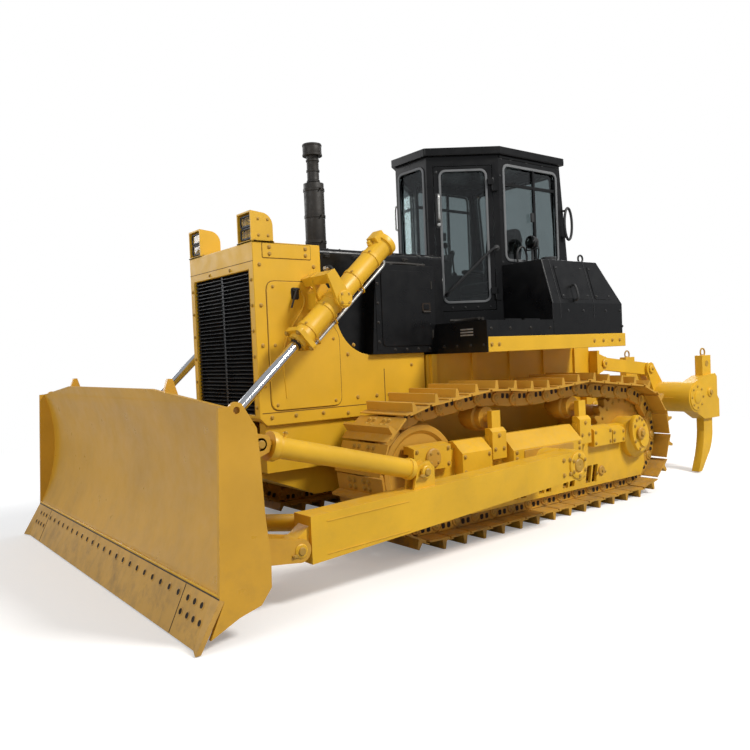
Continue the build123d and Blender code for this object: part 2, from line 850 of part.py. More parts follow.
def hood_plan(grow, front):
    """Plan of the hood: a neck at the cab, and full width ahead of the doors' swing."""
    back = at(hood_back) - grow
    shoulder = at(hood_shoulder) - grow
    neck = hood_neck_half + grow
    half = hood_half_width + grow
    outline = [(back, neck), (shoulder, neck), (shoulder, half), (at(front), half)]
    return outline + [(x, -y) for x, y in reversed(outline)]


with BuildPart() as hood:
    with BuildSketch(plan(hood_bottom)):
        Polygon(*hood_plan(0, guard_back - seat_gap), align=None)
    extrude(amount=guard_top - hood_bottom)
    top_edges = hood.edges().filter_by(Axis.X).group_by(Axis.Z)[-1]
    fillet(top_edges, hood_round)
    with BuildSketch(plan(hood_bottom - 10)):
        Polygon(*hood_plan(-hood_sheet, guard_back), align=None)
    extrude(amount=guard_top - hood_sheet - hood_bottom + 10, mode=Mode.SUBTRACT)
keep(hood, "engine_hood")

cowl_corner = 90.0
with BuildPart() as cowls:
    for hand in (1, -1):
        with BuildSketch(side(hand * (hood_half_width + seat_gap))):
            with BuildLine():
                Polyline(
                    (at(platform_front + seat_gap), sheet_top + seat_gap),
                    (at(cowl_front), sheet_top + seat_gap),
                    (at(cowl_front - 60), cowl_top),
                    (at(platform_front + seat_gap), cowl_top),
                    close=True,
                )
            make_face()
        extrude(amount=-hand * (cowl_half_width - hood_half_width))
keep(cowls, "cowls")

with BuildPart() as exhaust_stack:
    with BuildSketch(plan(guard_top + seat_gap)):
        with Locations((at(stack_x), 0)):
            Circle(stack_radius)
    extrude(amount=stack_shoulder - guard_top - seat_gap)
    with BuildSketch(plan(stack_shoulder - 1)):
        with Locations((at(stack_x), 0)):
            Circle(stack_pipe_radius)
    extrude(amount=stack_top - 100 - stack_shoulder)
    with BuildSketch(plan(stack_top - 101)):
        with Locations((at(stack_x), 0)):
            Circle(stack_pipe_radius + 30)
    extrude(amount=101)
keep(exhaust_stack, "exhaust_stack")

# Headlamps on the guard's front corners: open boxes with two lamps, one over the other
lamp_floor = guard_top + seat_gap
lamp_roof = lamp_floor + lamp_height
lamp_back = guard_front - lamp_length
lamp_recess = guard_front - 80
lamp_lens = (150.0, 70.0)       # width and height
lamp_pitch = 92.0
with BuildPart() as headlamp_boxes:
    for hand in (1, -1):
        with BuildSketch(side(hand * lamp_y)):
            with BuildLine():
                Line((at(lamp_back), lamp_floor), (at(guard_front), lamp_floor))
                Line((at(guard_front), lamp_floor), (at(guard_front), lamp_roof))
                Line((at(guard_front), lamp_roof), (at(lamp_back + 75), lamp_roof - 12))
                ThreePointArc(
                    (at(lamp_back + 75), lamp_roof - 12),
                    (at(lamp_back + 22), lamp_roof - 44),
                    (at(lamp_back), lamp_roof - 105),
                )
                Line((at(lamp_back), lamp_roof - 105), (at(lamp_back), lamp_floor))
            make_face()
        extrude(amount=lamp_half, both=True)
        with BuildSketch(section(at(lamp_recess))):
            with Locations((hand * lamp_y, (lamp_floor + lamp_roof) / 2)):
                Rectangle(2 * (lamp_half - lamp_sheet), lamp_height - 2 * lamp_sheet)
        extrude(amount=guard_front - lamp_recess + 10, mode=Mode.SUBTRACT)
keep(headlamp_boxes, "headlamp_boxes")
with BuildPart() as headlamps:
    for hand in (1, -1):
        for row in (-1, 1):
            with BuildSketch(section(at(lamp_recess + seat_gap))):
                with Locations((hand * lamp_y, (lamp_floor + lamp_roof) / 2 + row * lamp_pitch / 2)):
                    RectangleRounded(*lamp_lens, 18)
            extrude(amount=guard_front - lamp_recess - 22)
keep(headlamps, "headlamps")

# ----------------------------------------------------------------------------------------------
# Fenders, deck and tanks
# ----------------------------------------------------------------------------------------------
cab_seat = cab_side_half + seat_gap
with BuildPart() as fender_sills:
    with BuildSketch(plan(platform_bottom)):
        with Locations(((at(platform_back) + at(platform_front)) / 2, 0)):
            Rectangle(platform_front - platform_back, 2 * platform_half_width)
    extrude(amount=platform_sill - platform_bottom)
    with BuildSketch(plan(platform_bottom)):
        Polygon(*hood_plan(seat_gap, platform_front + 10), align=None)
        with Locations((at(platform_front), 0)):
            Rectangle(2 * (platform_apron + seat_gap), 2 * platform_half_width + 10)
    extrude(amount=platform_sill - platform_bottom, mode=Mode.SUBTRACT)
keep(fender_sills, "fender_sills")

with BuildPart() as deck:
    with BuildSketch(plan(platform_sill)):
        with Locations(((at(tank_front) + at(platform_front)) / 2, 0)):
            Rectangle(platform_front - tank_front, 2 * platform_half_width)
        with Locations(((at(platform_back) + at(tank_front)) / 2, 0)):
            Rectangle(tank_front - platform_back, 2 * cab_side_half)
    extrude(amount=platform_top - platform_sill)
    with BuildSketch(plan(platform_bottom)):
        with Locations((at(platform_front - platform_apron / 2), 0)):
            Rectangle(platform_apron, 2 * platform_half_width)
    extrude(amount=platform_sill - platform_bottom + 2)
    with BuildSketch(plan(platform_bottom)):
        Polygon(*hood_plan(seat_gap, platform_front + 10), align=None)
    extrude(amount=platform_top - platform_bottom, mode=Mode.SUBTRACT)
keep(deck, "deck")

with BuildPart() as rear_tanks:
    for hand in (1, -1):
        with BuildSketch(plan(platform_sill)):
            with Locations(((at(tank_front) + at(tank_back)) / 2 - seat_gap / 2, hand * (platform_half_width + cab_seat) / 2)):
                Rectangle(tank_front - tank_back - seat_gap, platform_half_width - cab_seat)
        extrude(amount=tank_knee - platform_sill)
        with BuildSketch(plan(tank_knee)):
            with Locations(((at(tank_front) + at(tank_back)) / 2 - seat_gap / 2, hand * (platform_half_width + cab_seat) / 2)):
                Rectangle(tank_front - tank_back - seat_gap, platform_half_width - cab_seat)
        with BuildSketch(plan(tank_top)):
            with Locations(((at(tank_front) + at(tank_top_back)) / 2 - seat_gap / 2, hand * (tank_top_half + cab_seat) / 2)):
                Rectangle(tank_front - tank_top_back - seat_gap, tank_top_half - cab_seat)
        loft()
keep(rear_tanks, "rear_tanks")

# ----------------------------------------------------------------------------------------------
# Cab
# ----------------------------------------------------------------------------------------------
def cab_outline(back, grow):
    """Six-sided plan of the cab, grown outwards by a margin."""
    slant = hypot(cab_front - cab_corner, cab_side_half - cab_front_half)
    lean_x = (cab_side_half - cab_front_half) / slant
    lean_y = (cab_front - cab_corner) / slant
    # the slanting wall moves out by grow, and meets the front and side walls there
    front_half = cab_front_half + grow * (1 - lean_x) / lean_y
    corner_x = cab_corner + grow * (1 - lean_y) / lean_x
    outline = [
        (at(back - grow), cab_side_half + grow),
        (at(corner_x), cab_side_half + grow),
        (at(cab_front + grow), front_half),
    ]
    return outline + [(x, -y) for x, y in reversed(outline)]


def door_frame(hand):
    """Middle of the door wall's outer face at the deck, y up and z out of the wall."""
    return Plane(
        origin=(at((cab_corner + cab_front) / 2), hand * (cab_side_half + cab_front_half) / 2, platform_top),
        x_dir=(-hand * (cab_front - cab_corner), cab_side_half - cab_front_half, 0),
        z_dir=(cab_side_half - cab_front_half, hand * (cab_front - cab_corner), 0),
    )


def hinge_plane(hand, height):
    """Level plane on a door's hinge axis, which stands a little off the wall."""
    wall = door_frame(hand)
    rear = hand * (wall_length / 2 - door_rear_post - door_gap / 2)
    centre = wall.origin + wall.x_dir * rear + wall.z_dir * hinge_stand
    return Plane(origin=(centre.X, centre.Y, platform_top + height), x_dir=wall.x_dir, z_dir=(0, 0, 1))


hinge_radius = 16.0
hinge_stand = hinge_radius + 2  # hinge axis off the wall
hinge_pin_radius = 7.0
hinge_leaf = 46.0
hinge_length = 60.0             # of one knuckle
wall_length = hypot(cab_front - cab_corner, cab_side_half - cab_front_half)
door_width = wall_length - door_front_post - door_rear_post
door_height = cab_roof_bottom - platform_top - door_sill - door_head
door_middle_z = door_sill + door_height / 2
door_shift = (door_front_post - door_rear_post) / 2
door_window_height = door_height - 130
window_margin = 62.0
hinge_heights = (door_sill + 150, door_sill + door_height - 190)
with BuildPart() as cab_shell:
    with BuildSketch(plan(platform_top)):
        Polygon(*cab_outline(cab_back_bottom, 0), align=None)
    with BuildSketch(plan(cab_roof_bottom)):
        Polygon(*cab_outline(cab_back_top, 0), align=None)
    loft()
    with BuildSketch(plan(platform_top)):
        Polygon(*cab_outline(cab_back_bottom, -cab_wall), align=None)
    with BuildSketch(plan(cab_roof_bottom)):
        Polygon(*cab_outline(cab_back_top, -cab_wall), align=None)
    loft(mode=Mode.SUBTRACT)
    for hand in (1, -1):
        # door opening
        with BuildSketch(door_frame(hand)):
            with Locations((hand * door_shift, door_middle_z)):
                Rectangle(door_width, door_height)
        extrude(amount=cab_wall + 20, both=True, mode=Mode.SUBTRACT)
        # side window
        with BuildSketch(side(hand * (cab_side_half - cab_wall / 2))):
            with Locations(((at(cab_back_top) + at(cab_corner)) / 2 + 10, window_middle)):
                RectangleRounded(cab_corner - cab_back_top - 2 * window_margin, window_height, window_radius)
        extrude(amount=cab_wall, both=True, mode=Mode.SUBTRACT)
    # windscreen and rear window
    with BuildSketch(section(at(cab_front - cab_wall / 2))):
        with Locations((0, windscreen_middle)):
            RectangleRounded(2 * (cab_front_half - 45), windscreen_height, window_radius)
    extrude(amount=cab_wall, both=True, mode=Mode.SUBTRACT)
    with BuildSketch(section(at(cab_back_bottom - 40))):
        with Locations((0, window_middle)):
            RectangleRounded(2 * (cab_side_half - rear_window_side), window_height, window_radius)
    extrude(amount=cab_back_top - cab_back_bottom + 120, mode=Mode.SUBTRACT)
    # lower knuckle of each door hinge, with its pin
    for hand in (1, -1):
        for height in hinge_heights:
            with BuildSketch(hinge_plane(hand, height)):
                Circle(hinge_radius)
                with Locations((hand * hinge_leaf / 2, 0)):
                    Rectangle(hinge_leaf, 2 * hinge_stand + 1)
            extrude(amount=-hinge_length)
            with BuildSketch(hinge_plane(hand, height)):
                Circle(hinge_pin_radius)
            extrude(amount=hinge_length)
keep(cab_shell, "cab_shell")

with BuildPart() as cab_roof:
    with BuildSketch(plan(cab_roof_bottom + seat_gap)):
        Polygon(*cab_outline(cab_back_top, roof_overhang), align=None)
    extrude(amount=cab_roof_top - cab_roof_bottom - seat_gap)
keep(cab_roof, "cab_roof")

for side_name, hand in sides:
    with BuildPart() as door:
        with BuildSketch(door_frame(hand)):
            with Locations((hand * door_shift, door_middle_z)):
                Rectangle(door_width - 2 * door_gap, door_height - 2 * door_gap)
        extrude(amount=-cab_wall)
        with BuildSketch(door_frame(hand)):
            with Locations((hand * door_shift, door_middle_z + 20)):
                RectangleRounded(door_width - 2 * window_margin, door_window_height, window_radius)
        extrude(amount=-cab_wall, mode=Mode.SUBTRACT)
        for height in hinge_heights:
            with BuildSketch(hinge_plane(hand, height + seat_gap)):
                Circle(hinge_radius)
                with Locations((-hand * hinge_leaf / 2, 0)):
                    Rectangle(hinge_leaf, 2 * hinge_stand + 1)
                Circle(hinge_pin_radius + pin_gap, mode=Mode.SUBTRACT)
            extrude(amount=hinge_length)
    keep(door, "cab_door_" + side_name)
    with BuildPart() as door_glass:
        with BuildSketch(door_frame(hand).offset(-(cab_wall + glass) / 2)):
            with Locations((hand * door_shift, door_middle_z + 20)):
                RectangleRounded(
                    door_width - 2 * window_margin - 2 * seat_gap,
                    door_window_height - 2 * seat_gap,
                    window_radius - seat_gap,
                )
        extrude(amount=glass)
    keep(door_glass, "door_glass_" + side_name)

back_lean = (cab_back_top - cab_back_bottom) / (cab_roof_bottom - platform_top)
with BuildPart() as cab_glass:
    # rear window, leaning with the back wall
    with BuildSketch(section(at(cab_back_bottom))):
        with Locations((0, window_middle)):
            RectangleRounded(2 * (cab_side_half - rear_window_side - seat_gap),
                             window_height - 2 * seat_gap, window_radius - seat_gap)
    extrude(amount=cab_back_top - cab_back_bottom + cab_wall)
    with BuildSketch(side(0)):
        low_x = at(cab_back_bottom) + cab_wall / 2
        high_x = low_x + back_lean * (cab_roof_bottom - platform_top)
        Polygon(
            (low_x - glass / 2, platform_top),
            (low_x + glass / 2, platform_top),
            (high_x + glass / 2, cab_roof_bottom),
            (high_x - glass / 2, cab_roof_bottom),
            align=None,
        )
    extrude(amount=cab_side_half, both=True, mode=Mode.INTERSECT)
    for hand in (1, -1):
        with BuildSketch(side(hand * (cab_side_half - cab_wall / 2))):
            with Locations(((at(cab_back_top) + at(cab_corner)) / 2 + 10, window_middle)):
                RectangleRounded(cab_corner - cab_back_top - 2 * window_margin - 2 * seat_gap,
                                 window_height - 2 * seat_gap, window_radius - seat_gap)
        extrude(amount=glass / 2, both=True)
    with BuildSketch(section(at(cab_front - cab_wall / 2))):
        with Locations((0, windscreen_middle)):
            RectangleRounded(2 * (cab_front_half - 45) - 2 * seat_gap,
                             windscreen_height - 2 * seat_gap, window_radius - seat_gap)
    extrude(amount=glass / 2, both=True)
keep(cab_glass, "cab_glass")

# Seat and consoles inside the cab
seat_x = 700.0
with BuildPart() as seat:
    with BuildSketch(plan(platform_top)):
        with Locations((at(seat_x), 0)):
            Rectangle(300, 300)
    extrude(amount=300)
    with BuildSketch(plan(platform_top + 299)):
        with Locations((at(seat_x), 0)):
            RectangleRounded(500, 500, 60)
    extrude(amount=150)
    with BuildSketch(side(0)):
        with BuildLine():
            Polyline(
                (at(seat_x - 250), platform_top + 440),
                (at(seat_x - 110), platform_top + 440),
                (at(seat_x - 190), platform_top + 1050),
                (at(seat_x - 300), platform_top + 1050),
                close=True,
            )
        make_face()
    extrude(amount=230, both=True)
keep(seat, "operator_seat")
console_y = 400.0
console_length = 520.0
console_width = 180.0
console_height = 560.0
dash_setback = 200.0
dash_depth = 180.0
dash_width = 380.0
dash_height = 620.0
with BuildPart() as consoles:
    for hand in (1, -1):
        with BuildSketch(plan(platform_top)):
            with Locations((at(seat_x + 60), hand * console_y)):
                Rectangle(console_length, console_width)
        extrude(amount=console_height)
    with BuildSketch(plan(platform_top)):
        with Locations((at(cab_front - dash_setback), 0)):
            Rectangle(dash_depth, dash_width)
    extrude(amount=dash_height)
keep(consoles, "consoles")

# ----------------------------------------------------------------------------------------------
# Blade
# ----------------------------------------------------------------------------------------------
arm_middle = (arm_inner + arm_outer) / 2
arm_pin = (at(arm_pin_place[0]), arm_pin_place[1])
arm_pin_radius = 34.0
arm_ear_radius = 70.0
arm_eye_radius = 74.0
arm_eye_width = 120.0
arm_ear_gap = 2.0
arm_ears = (arm_middle - arm_eye_width / 2 - arm_ear_gap - ear / 2, arm_middle + arm_eye_width / 2 + arm_ear_gap + ear / 2)
arm_pin_half = arm_eye_width / 2 + arm_ear_gap + ear + 10
trunnion_cap = 125.0
brace_pin_front = (at(brace_front[0]), brace_front[1])
brace_pin_rear = (at(brace_rear[0]), brace_rear[1])
brace_pin_radius = 22.0
brace_eye_width = 60.0
brace_tongue = 75.0
brace_collar = 42.0
brace_ears = (arm_middle - brace_eye_width / 2 - 2 - plate / 2, arm_middle + brace_eye_width / 2 + 2 + plate / 2)
brace_pin_half = brace_eye_width / 2 + 2 + plate + 8
lift_pin = (at(lift_eye[0]), lift_eye[1])
lift_pin_radius = 40.0
lift_pin_half = lift_barrel_radius + 62
lift_eye_pin_half = lift_eye_width / 2 + 12
lift_ear_gap = lift_barrel_radius + 14 + running_gap + 5
lift_ear_root = (620.0, 750.0, 885.0, 1020.0, 1150.0)   # heights where the ears meet the mouldboard
lift_ears = (lift_y - lift_ear_gap - ear / 2, lift_y + lift_ear_gap + ear / 2)
stay_y = 1012.0
rod_inside = 300.0
lug_offset = lift_barrel_radius + running_gap + 10 + ear / 2
yoke_boss = 70.0
yoke_turn = radians(60)
yoke_bridge = 190.0
yoke_box = ((-95, 100), (60, 100), (100, 60), (100, -60), (30, -125), (-95, -125))   # from the pivot


def arm_top(x):
    """Height of the push arm's top face."""
    rear = at(trunnion_x) + 40
    share = (x - rear) / (at(arm_front_x) - rear)
    low = trunnion_z + arm_height_rear / 2
    high = arm_front_z + arm_height_front / 2
    return low + share * (high - low)


lip = (at(blade_lip_x), blade_top)
foot = (at(blade_foot_x), blade_foot_z)
chord = hypot(lip[0] - foot[0], lip[1] - foot[1])
face_radius = (chord / 2) ** 2 / (2 * blade_hollow) + blade_hollow / 2
chord_dx = (foot[0] - lip[0]) / chord
chord_dz = (foot[1] - lip[1]) / chord
# the circle's centre lies in front of the blade
face_centre = (
    (lip[0] + foot[0]) / 2 - chord_dz * (face_radius - blade_hollow),
    (lip[1] + foot[1]) / 2 + chord_dx * (face_radius - blade_hollow),
)


def face_x(z, behind=0.0):
    """X of the mouldboard's front face at a height, or of a surface some way behind it."""
    radius = face_radius + behind
    return face_centre[0] - sqrt(radius ** 2 - (z - face_centre[1]) ** 2)


def chord_x(z):
    """X of the straight line from the mouldboard's lip to its foot at a height."""
    return lip[0] + (foot[0] - lip[0]) * (lip[1] - z) / (lip[1] - foot[1])


def blade_slab(back_points, inner_y, outer_y):
    """Solid behind the mouldboard's back, between two places along the blade."""
    low = back_points[-1][1]
    high = back_points[0][1]
    with BuildSketch(side(inner_y)) as profile:
        with BuildLine():
            ThreePointArc(
                (face_x(low, blade_plate - 2), low),
                (face_x((low + high) / 2, blade_plate - 2), (low + high) / 2),
                (face_x(high, blade_plate - 2), high),
            )
            Polyline((face_x(high, blade_plate - 2), high), *back_points, (face_x(low, blade_plate - 2), low))
        make_face()
    extrude(profile.sketch, amount=-(outer_y - inner_y))


blade_inside = blade_half_width - blade_plate
edge_foot = (at(front_reach - end_bit_flare), edge_clearance)
edge_turn = atan2(edge_foot[1] - foot[1], edge_foot[0] - foot[0])
lug_place = (at(lug_centre[0]), lug_centre[1])
blade_back = at(blade_back_x)
lower_box = ((blade_back, 520), (blade_back, 345), (blade_back + 90, blade_foot_z + 14))
upper_box = ((blade_back + 70, 1190), (blade_back + 70, 1060))
rib_box = ((blade_back + 60, 1100), (blade_back + 30, 500))
with BuildPart() as blade:
    with BuildSketch(side(0)):
        with BuildLine():
            ThreePointArc(lip, (face_x((lip[1] + foot[1]) / 2), (lip[1] + foot[1]) / 2), foot)
            Line(foot, (face_x(foot[1], blade_plate), foot[1]))
            ThreePointArc(
                (face_x(foot[1], blade_plate), foot[1]),
                (face_x((lip[1] + foot[1]) / 2, blade_plate), (lip[1] + foot[1]) / 2),
                (face_x(lip[1], blade_plate), lip[1]),
            )
            Line((face_x(lip[1], blade_plate), lip[1]), lip)
        make_face()
    extrude(amount=blade_inside + 2, both=True)
    blade_slab(lower_box, -blade_inside - 2, blade_inside + 2)
    blade_slab(upper_box, -blade_inside - 2, blade_inside + 2)
    for rib_y in (-1600, -1200, -600, 0, 600, 1200, 1600):
        blade_slab(rib_box, rib_y - plate / 2, rib_y + plate / 2)
    # sloping top edge towards both ends
    with BuildSketch(section(at(blade_back_x - 200))):
        Polygon(
            (-blade_half_width, 0),
            (blade_half_width, 0),
            (blade_half_width, blade_corner),
            (blade_flat_half, blade_top),
            (-blade_flat_half, blade_top),
            (-blade_half_width, blade_corner),
            align=None,
        )
    extrude(amount=blade_foot_x - blade_back_x + 400, mode=Mode.INTERSECT)
    for hand in (1, -1):
        # end plate: straight in front, and down behind the cutting edge
        with BuildSketch(side(hand * blade_inside)):
            with BuildLine():
                Polyline(
                    (chord_x(blade_corner), blade_corner),
                    foot,
                    along(foot, edge_turn, 0, -edge_thickness - seat_gap),
                    along(foot, edge_turn, edge_lap, -edge_thickness - seat_gap),
                    *[(at(x), z) for x, z in end_plate_back],
                    (chord_x(blade_corner), blade_corner),
                )
            make_face()
            with Locations(lug_place):
                Circle(lug_radius)
                Circle(lug_hole, mode=Mode.SUBTRACT)
        extrude(amount=-hand * blade_plate)
        # ears for the push arm's pin
        for ear_y in arm_ears:
            with BuildSketch(side(hand * ear_y)):
                with BuildLine():
                    Polyline(
                        (blade_back + 30, 330),
                        (arm_pin[0], arm_pin[1] - arm_ear_radius + 1),
                        (arm_pin[0], arm_pin[1] + arm_ear_radius - 1),
                        (blade_back + 30, 500),
                        close=True,
                    )
                make_face()
                with Locations(arm_pin):
                    Circle(arm_ear_radius)
                    Circle(arm_pin_radius + pin_gap, mode=Mode.SUBTRACT)
            extrude(amount=ear / 2, both=True)
        # ears for the upper brace
        for ear_y in brace_ears:
            with BuildSketch(side(hand * ear_y)):
                with BuildLine():
                    Polyline(
                        (face_x(1130, blade_plate - 2), 1130),
                        (brace_pin_front[0] - 50, brace_pin_front[1] + 50),
                        (brace_pin_front[0] - 70, brace_pin_front[1]),
                        (brace_pin_front[0] - 50, brace_pin_front[1] - 50),
                        (face_x(850, blade_plate - 2), 850),
                        close=True,
                    )
                make_face()
                with Locations(brace_pin_front):
                    Circle(brace_pin_radius + pin_gap, mode=Mode.SUBTRACT)
            extrude(amount=plate / 2, both=True)
        # ears for the lift cylinder's rod eye, and the triangular stays over them
        for ear_y in lift_ears:
            with BuildSketch(side(hand * ear_y)):
                with BuildLine():
                    Polyline(
                        (lift_pin[0] - 60, lift_pin[1] + 80),
                        (lift_pin[0] - 90, lift_pin[1]),
                        (lift_pin[0] - 60, lift_pin[1] - 60),
                        *[(face_x(z, blade_plate - 2), z) for z in lift_ear_root],
                        close=True,
                    )
                make_face()
            extrude(amount=ear / 2, both=True)
        with BuildSketch(side(hand * stay_y)):
            with BuildLine():
                Polyline(
                    (face_x(blade_top - 30, blade_plate - 2), blade_top - 30),
                    (face_x(blade_top - 30, blade_plate) - 30, blade_top + 60),
                    (face_x(blade_top - 30, blade_plate) - 60, blade_top + 60),
                    (face_x(1100, blade_plate) - 90, 1100),
                    (face_x(1100, blade_plate - 2), 1100),
                    close=True,
                )
            make_face()
        extrude(amount=ear / 2, both=True)
keep(blade, "blade")

# Cutting edge with an end bit at each end, bolted under the mouldboard
def edge_section(flare):
    """Cross section of the cutting edge whose foot stands forward by a flare."""
    heel = (edge_foot[0] + flare - edge_thickness / sin(-edge_turn), edge_clearance)
    return (
        along(foot, edge_turn, seat_gap),
        (edge_foot[0] + flare, edge_clearance),
        heel,
        along(foot, edge_turn, seat_gap, -edge_thickness),
    )


end_bit_inner = blade_half_width - end_bit_width
end_bit_corner = blade_half_width - end_bit_bend
with BuildPart() as cutting_edge:
    with BuildSketch(side(0)):
        Polygon(*edge_section(0), align=None)
    extrude(amount=end_bit_inner - seat_gap, both=True)
    for hand in (1, -1):
        with BuildSketch(side(hand * end_bit_inner)):
            Polygon(*edge_section(0), align=None)
        extrude(amount=-hand * (end_bit_corner - end_bit_inner + 1))
        # the end bit's outer part turns forward
        with BuildSketch(side(hand * end_bit_corner)):
            Polygon(*edge_section(0), align=None)
        with BuildSketch(side(hand * blade_half_width)):
            Polygon(*edge_section(end_bit_flare), align=None)
        loft()
keep(cutting_edge, "cutting_edge")

# Push arms: tapered box beams from the trunnion to the blade
with BuildPart() as push_arms:
    for hand in (1, -1):
        with BuildSketch(side(hand * (arm_inner + arm_outer) / 2)):
            with BuildLine():
                Polyline(
                    (at(trunnion_x) + 40, trunnion_z - arm_height_rear / 2),
                    (at(arm_front_x), arm_front_z - arm_height_front / 2),
                    (at(arm_front_x), arm_front_z + arm_height_front / 2),
                    (at(trunnion_x) + 40, trunnion_z + arm_height_rear / 2),
                    close=True,
                )
            make_face()
            with Locations((at(trunnion_x), trunnion_z)):
                Circle(trunnion_cap)
        extrude(amount=(arm_outer - arm_inner) / 2, both=True)
        with BuildSketch(side(hand * (arm_inner + arm_outer) / 2)):
            with Locations((at(trunnion_x), trunnion_z)):
                Circle(trunnion_radius + pin_gap)
        extrude(amount=arm_outer, both=True, mode=Mode.SUBTRACT)
        # front eye between the blade's ears
        with BuildSketch(side(hand * arm_middle)):
            with BuildLine():
                Polyline(
                    (at(arm_front_x) - 20, arm_front_z - 100),
                    (arm_pin[0], arm_pin[1] - arm_eye_radius),
                    (arm_pin[0], arm_pin[1] + arm_eye_radius),
                    (at(arm_front_x) - 20, arm_front_z + 100),
                    close=True,
                )
            make_face()
            with Locations(arm_pin):
                Circle(arm_eye_radius)
        extrude(amount=arm_eye_width / 2, both=True)
        with BuildSketch(side(hand * arm_middle)):
            with Locations(arm_pin):
                Circle(arm_pin_radius)
        extrude(amount=arm_pin_half, both=True)
        # bracket of the upper brace
        for ear_y in brace_ears:
            with BuildSketch(side(hand * ear_y)):
                with BuildLine():
                    Polyline(
                        (brace_pin_rear[0] - 90, arm_top(brace_pin_rear[0] - 90) - 30),
                        (brace_pin_rear[0] + 110, arm_top(brace_pin_rear[0] + 110) - 30),
                        (brace_pin_rear[0] + 60, brace_pin_rear[1] + 40),
                        (brace_pin_rear[0] - 40, brace_pin_rear[1] + 70),
                        (brace_pin_rear[0] - 90, brace_pin_rear[1] + 20),
                        close=True,
                    )
                make_face()
                with Locations(brace_pin_rear):
                    Circle(brace_pin_radius + pin_gap, mode=Mode.SUBTRACT)
            extrude(amount=plate / 2, both=True)
keep(push_arms, "push_arms")

# Upper braces between arm and blade, with a pin at each end
brace_turn = atan2(brace_pin_front[1] - brace_pin_rear[1], brace_pin_front[0] - brace_pin_rear[0])
with BuildPart() as braces:
    for hand in (1, -1):
        brace_y = hand * arm_middle
        reach = hypot(brace_pin_front[1] - brace_pin_rear[1], brace_pin_front[0] - brace_pin_rear[0])
        start = (
            brace_pin_rear[0] + brace_tongue * cos(brace_turn),
            brace_y,
            brace_pin_rear[1] + brace_tongue * sin(brace_turn),
        )
        with BuildSketch(Plane(origin=start, z_dir=(cos(brace_turn), 0, sin(brace_turn)))):
            Circle(brace_radius)
        extrude(amount=reach - 2 * brace_tongue)
        # collar round the tube behind its front pin
        collar = (
            brace_pin_front[0] - (brace_tongue + brace_collar) * cos(brace_turn),
            brace_y,
            brace_pin_front[1] - (brace_tongue + brace_collar) * sin(brace_turn),
        )
        with BuildSketch(Plane(origin=collar, z_dir=(cos(brace_turn), 0, sin(brace_turn)))):
            Circle(brace_radius + 24)
        extrude(amount=brace_collar)
        for toward, eye in ((1, brace_pin_rear), (-1, brace_pin_front)):
            with BuildSketch(side(brace_y)):
                with BuildLine():
                    Polyline(
                        (eye[0] - 40 * sin(brace_turn), eye[1] + 40 * cos(brace_turn)),
                        (eye[0] + 40 * sin(brace_turn), eye[1] - 40 * cos(brace_turn)),
                        (
                            eye[0] + 40 * sin(brace_turn) + toward * (brace_tongue + 5) * cos(brace_turn),
                            eye[1] - 40 * cos(brace_turn) + toward * (brace_tongue + 5) * sin(brace_turn),
                        ),
                        (
                            eye[0] - 40 * sin(brace_turn) + toward * (brace_tongue + 5) * cos(brace_turn),
                            eye[1] + 40 * cos(brace_turn) + toward * (brace_tongue + 5) * sin(brace_turn),
                        ),
                        close=True,
                    )
                make_face()
                with Locations(eye):
                    Circle(40)
            extrude(amount=brace_eye_width / 2, both=True)
            with BuildSketch(side(brace_y)):
                with Locations(eye):
                    Circle(brace_pin_radius)
            extrude(amount=brace_pin_half, both=True)
keep(braces, "blade_braces")

# Diagonal struts from the arms' inner sides to the middle of the blade, with a plate at each end
strut_plate = 30.0
strut_start = (at(strut_arm_end[0]), arm_inner - seat_gap - strut_plate, strut_arm_end[1])
strut_end = (blade_back - seat_gap - strut_plate, strut_blade_end[0], strut_blade_end[1])
strut_run = [last - first for first, last in zip(strut_start, strut_end)]
strut_reach = sqrt(sum(part ** 2 for part in strut_run))
strut_lap = 20.0                # into each plate
with BuildPart() as struts:
    for hand in (1, -1):
        lean = (strut_run[0] / strut_reach, hand * strut_run[1] / strut_reach, strut_run[2] / strut_reach)
        start = (strut_start[0], hand * strut_start[1], strut_start[2])
        with BuildSketch(Plane(origin=start, z_dir=lean).offset(-strut_lap)):
            Circle(strut_radius)
        extrude(amount=strut_reach + 2 * strut_lap)
        with BuildSketch(side(hand * (arm_inner - seat_gap))):
            with Locations((strut_start[0], strut_start[2])):
                Rectangle(230, 165)
        extrude(amount=hand * strut_plate)
        with BuildSketch(section(blade_back - seat_gap)):
            with Locations((hand * strut_end[1], strut_end[2])):
                Rectangle(250, 165)
        extrude(amount=-strut_plate)
        # nothing of the tube's ends beyond the plates
        with BuildSketch(plan(strut_start[2] - 100)):
            with Locations((strut_start[0], hand * (arm_inner - seat_gap + 50))):
                Rectangle(400, 100)
            with Locations((blade_back - seat_gap + 50, hand * strut_end[1])):
                Rectangle(100, 400)
        extrude(amount=200, mode=Mode.SUBTRACT)
keep(struts, "blade_struts")

# ----------------------------------------------------------------------------------------------
# Lift cylinders on their yokes
# ----------------------------------------------------------------------------------------------
lift_pivot = (at(lift_trunnion[0]), lift_trunnion[1])
lift_turn = atan2(lift_pin[1] - lift_pivot[1], lift_pin[0] - lift_pivot[0])
lift_reach = hypot(lift_pin[1] - lift_pivot[1], lift_pin[0] - lift_pivot[0])


def cross_plane(origin, turn, distance, y):
    """Plane across a direction in a side view, some way along it."""
    x, z = along(origin, turn, distance)
    return Plane(origin=(x, y, z), z_dir=(cos(turn), 0, sin(turn)))


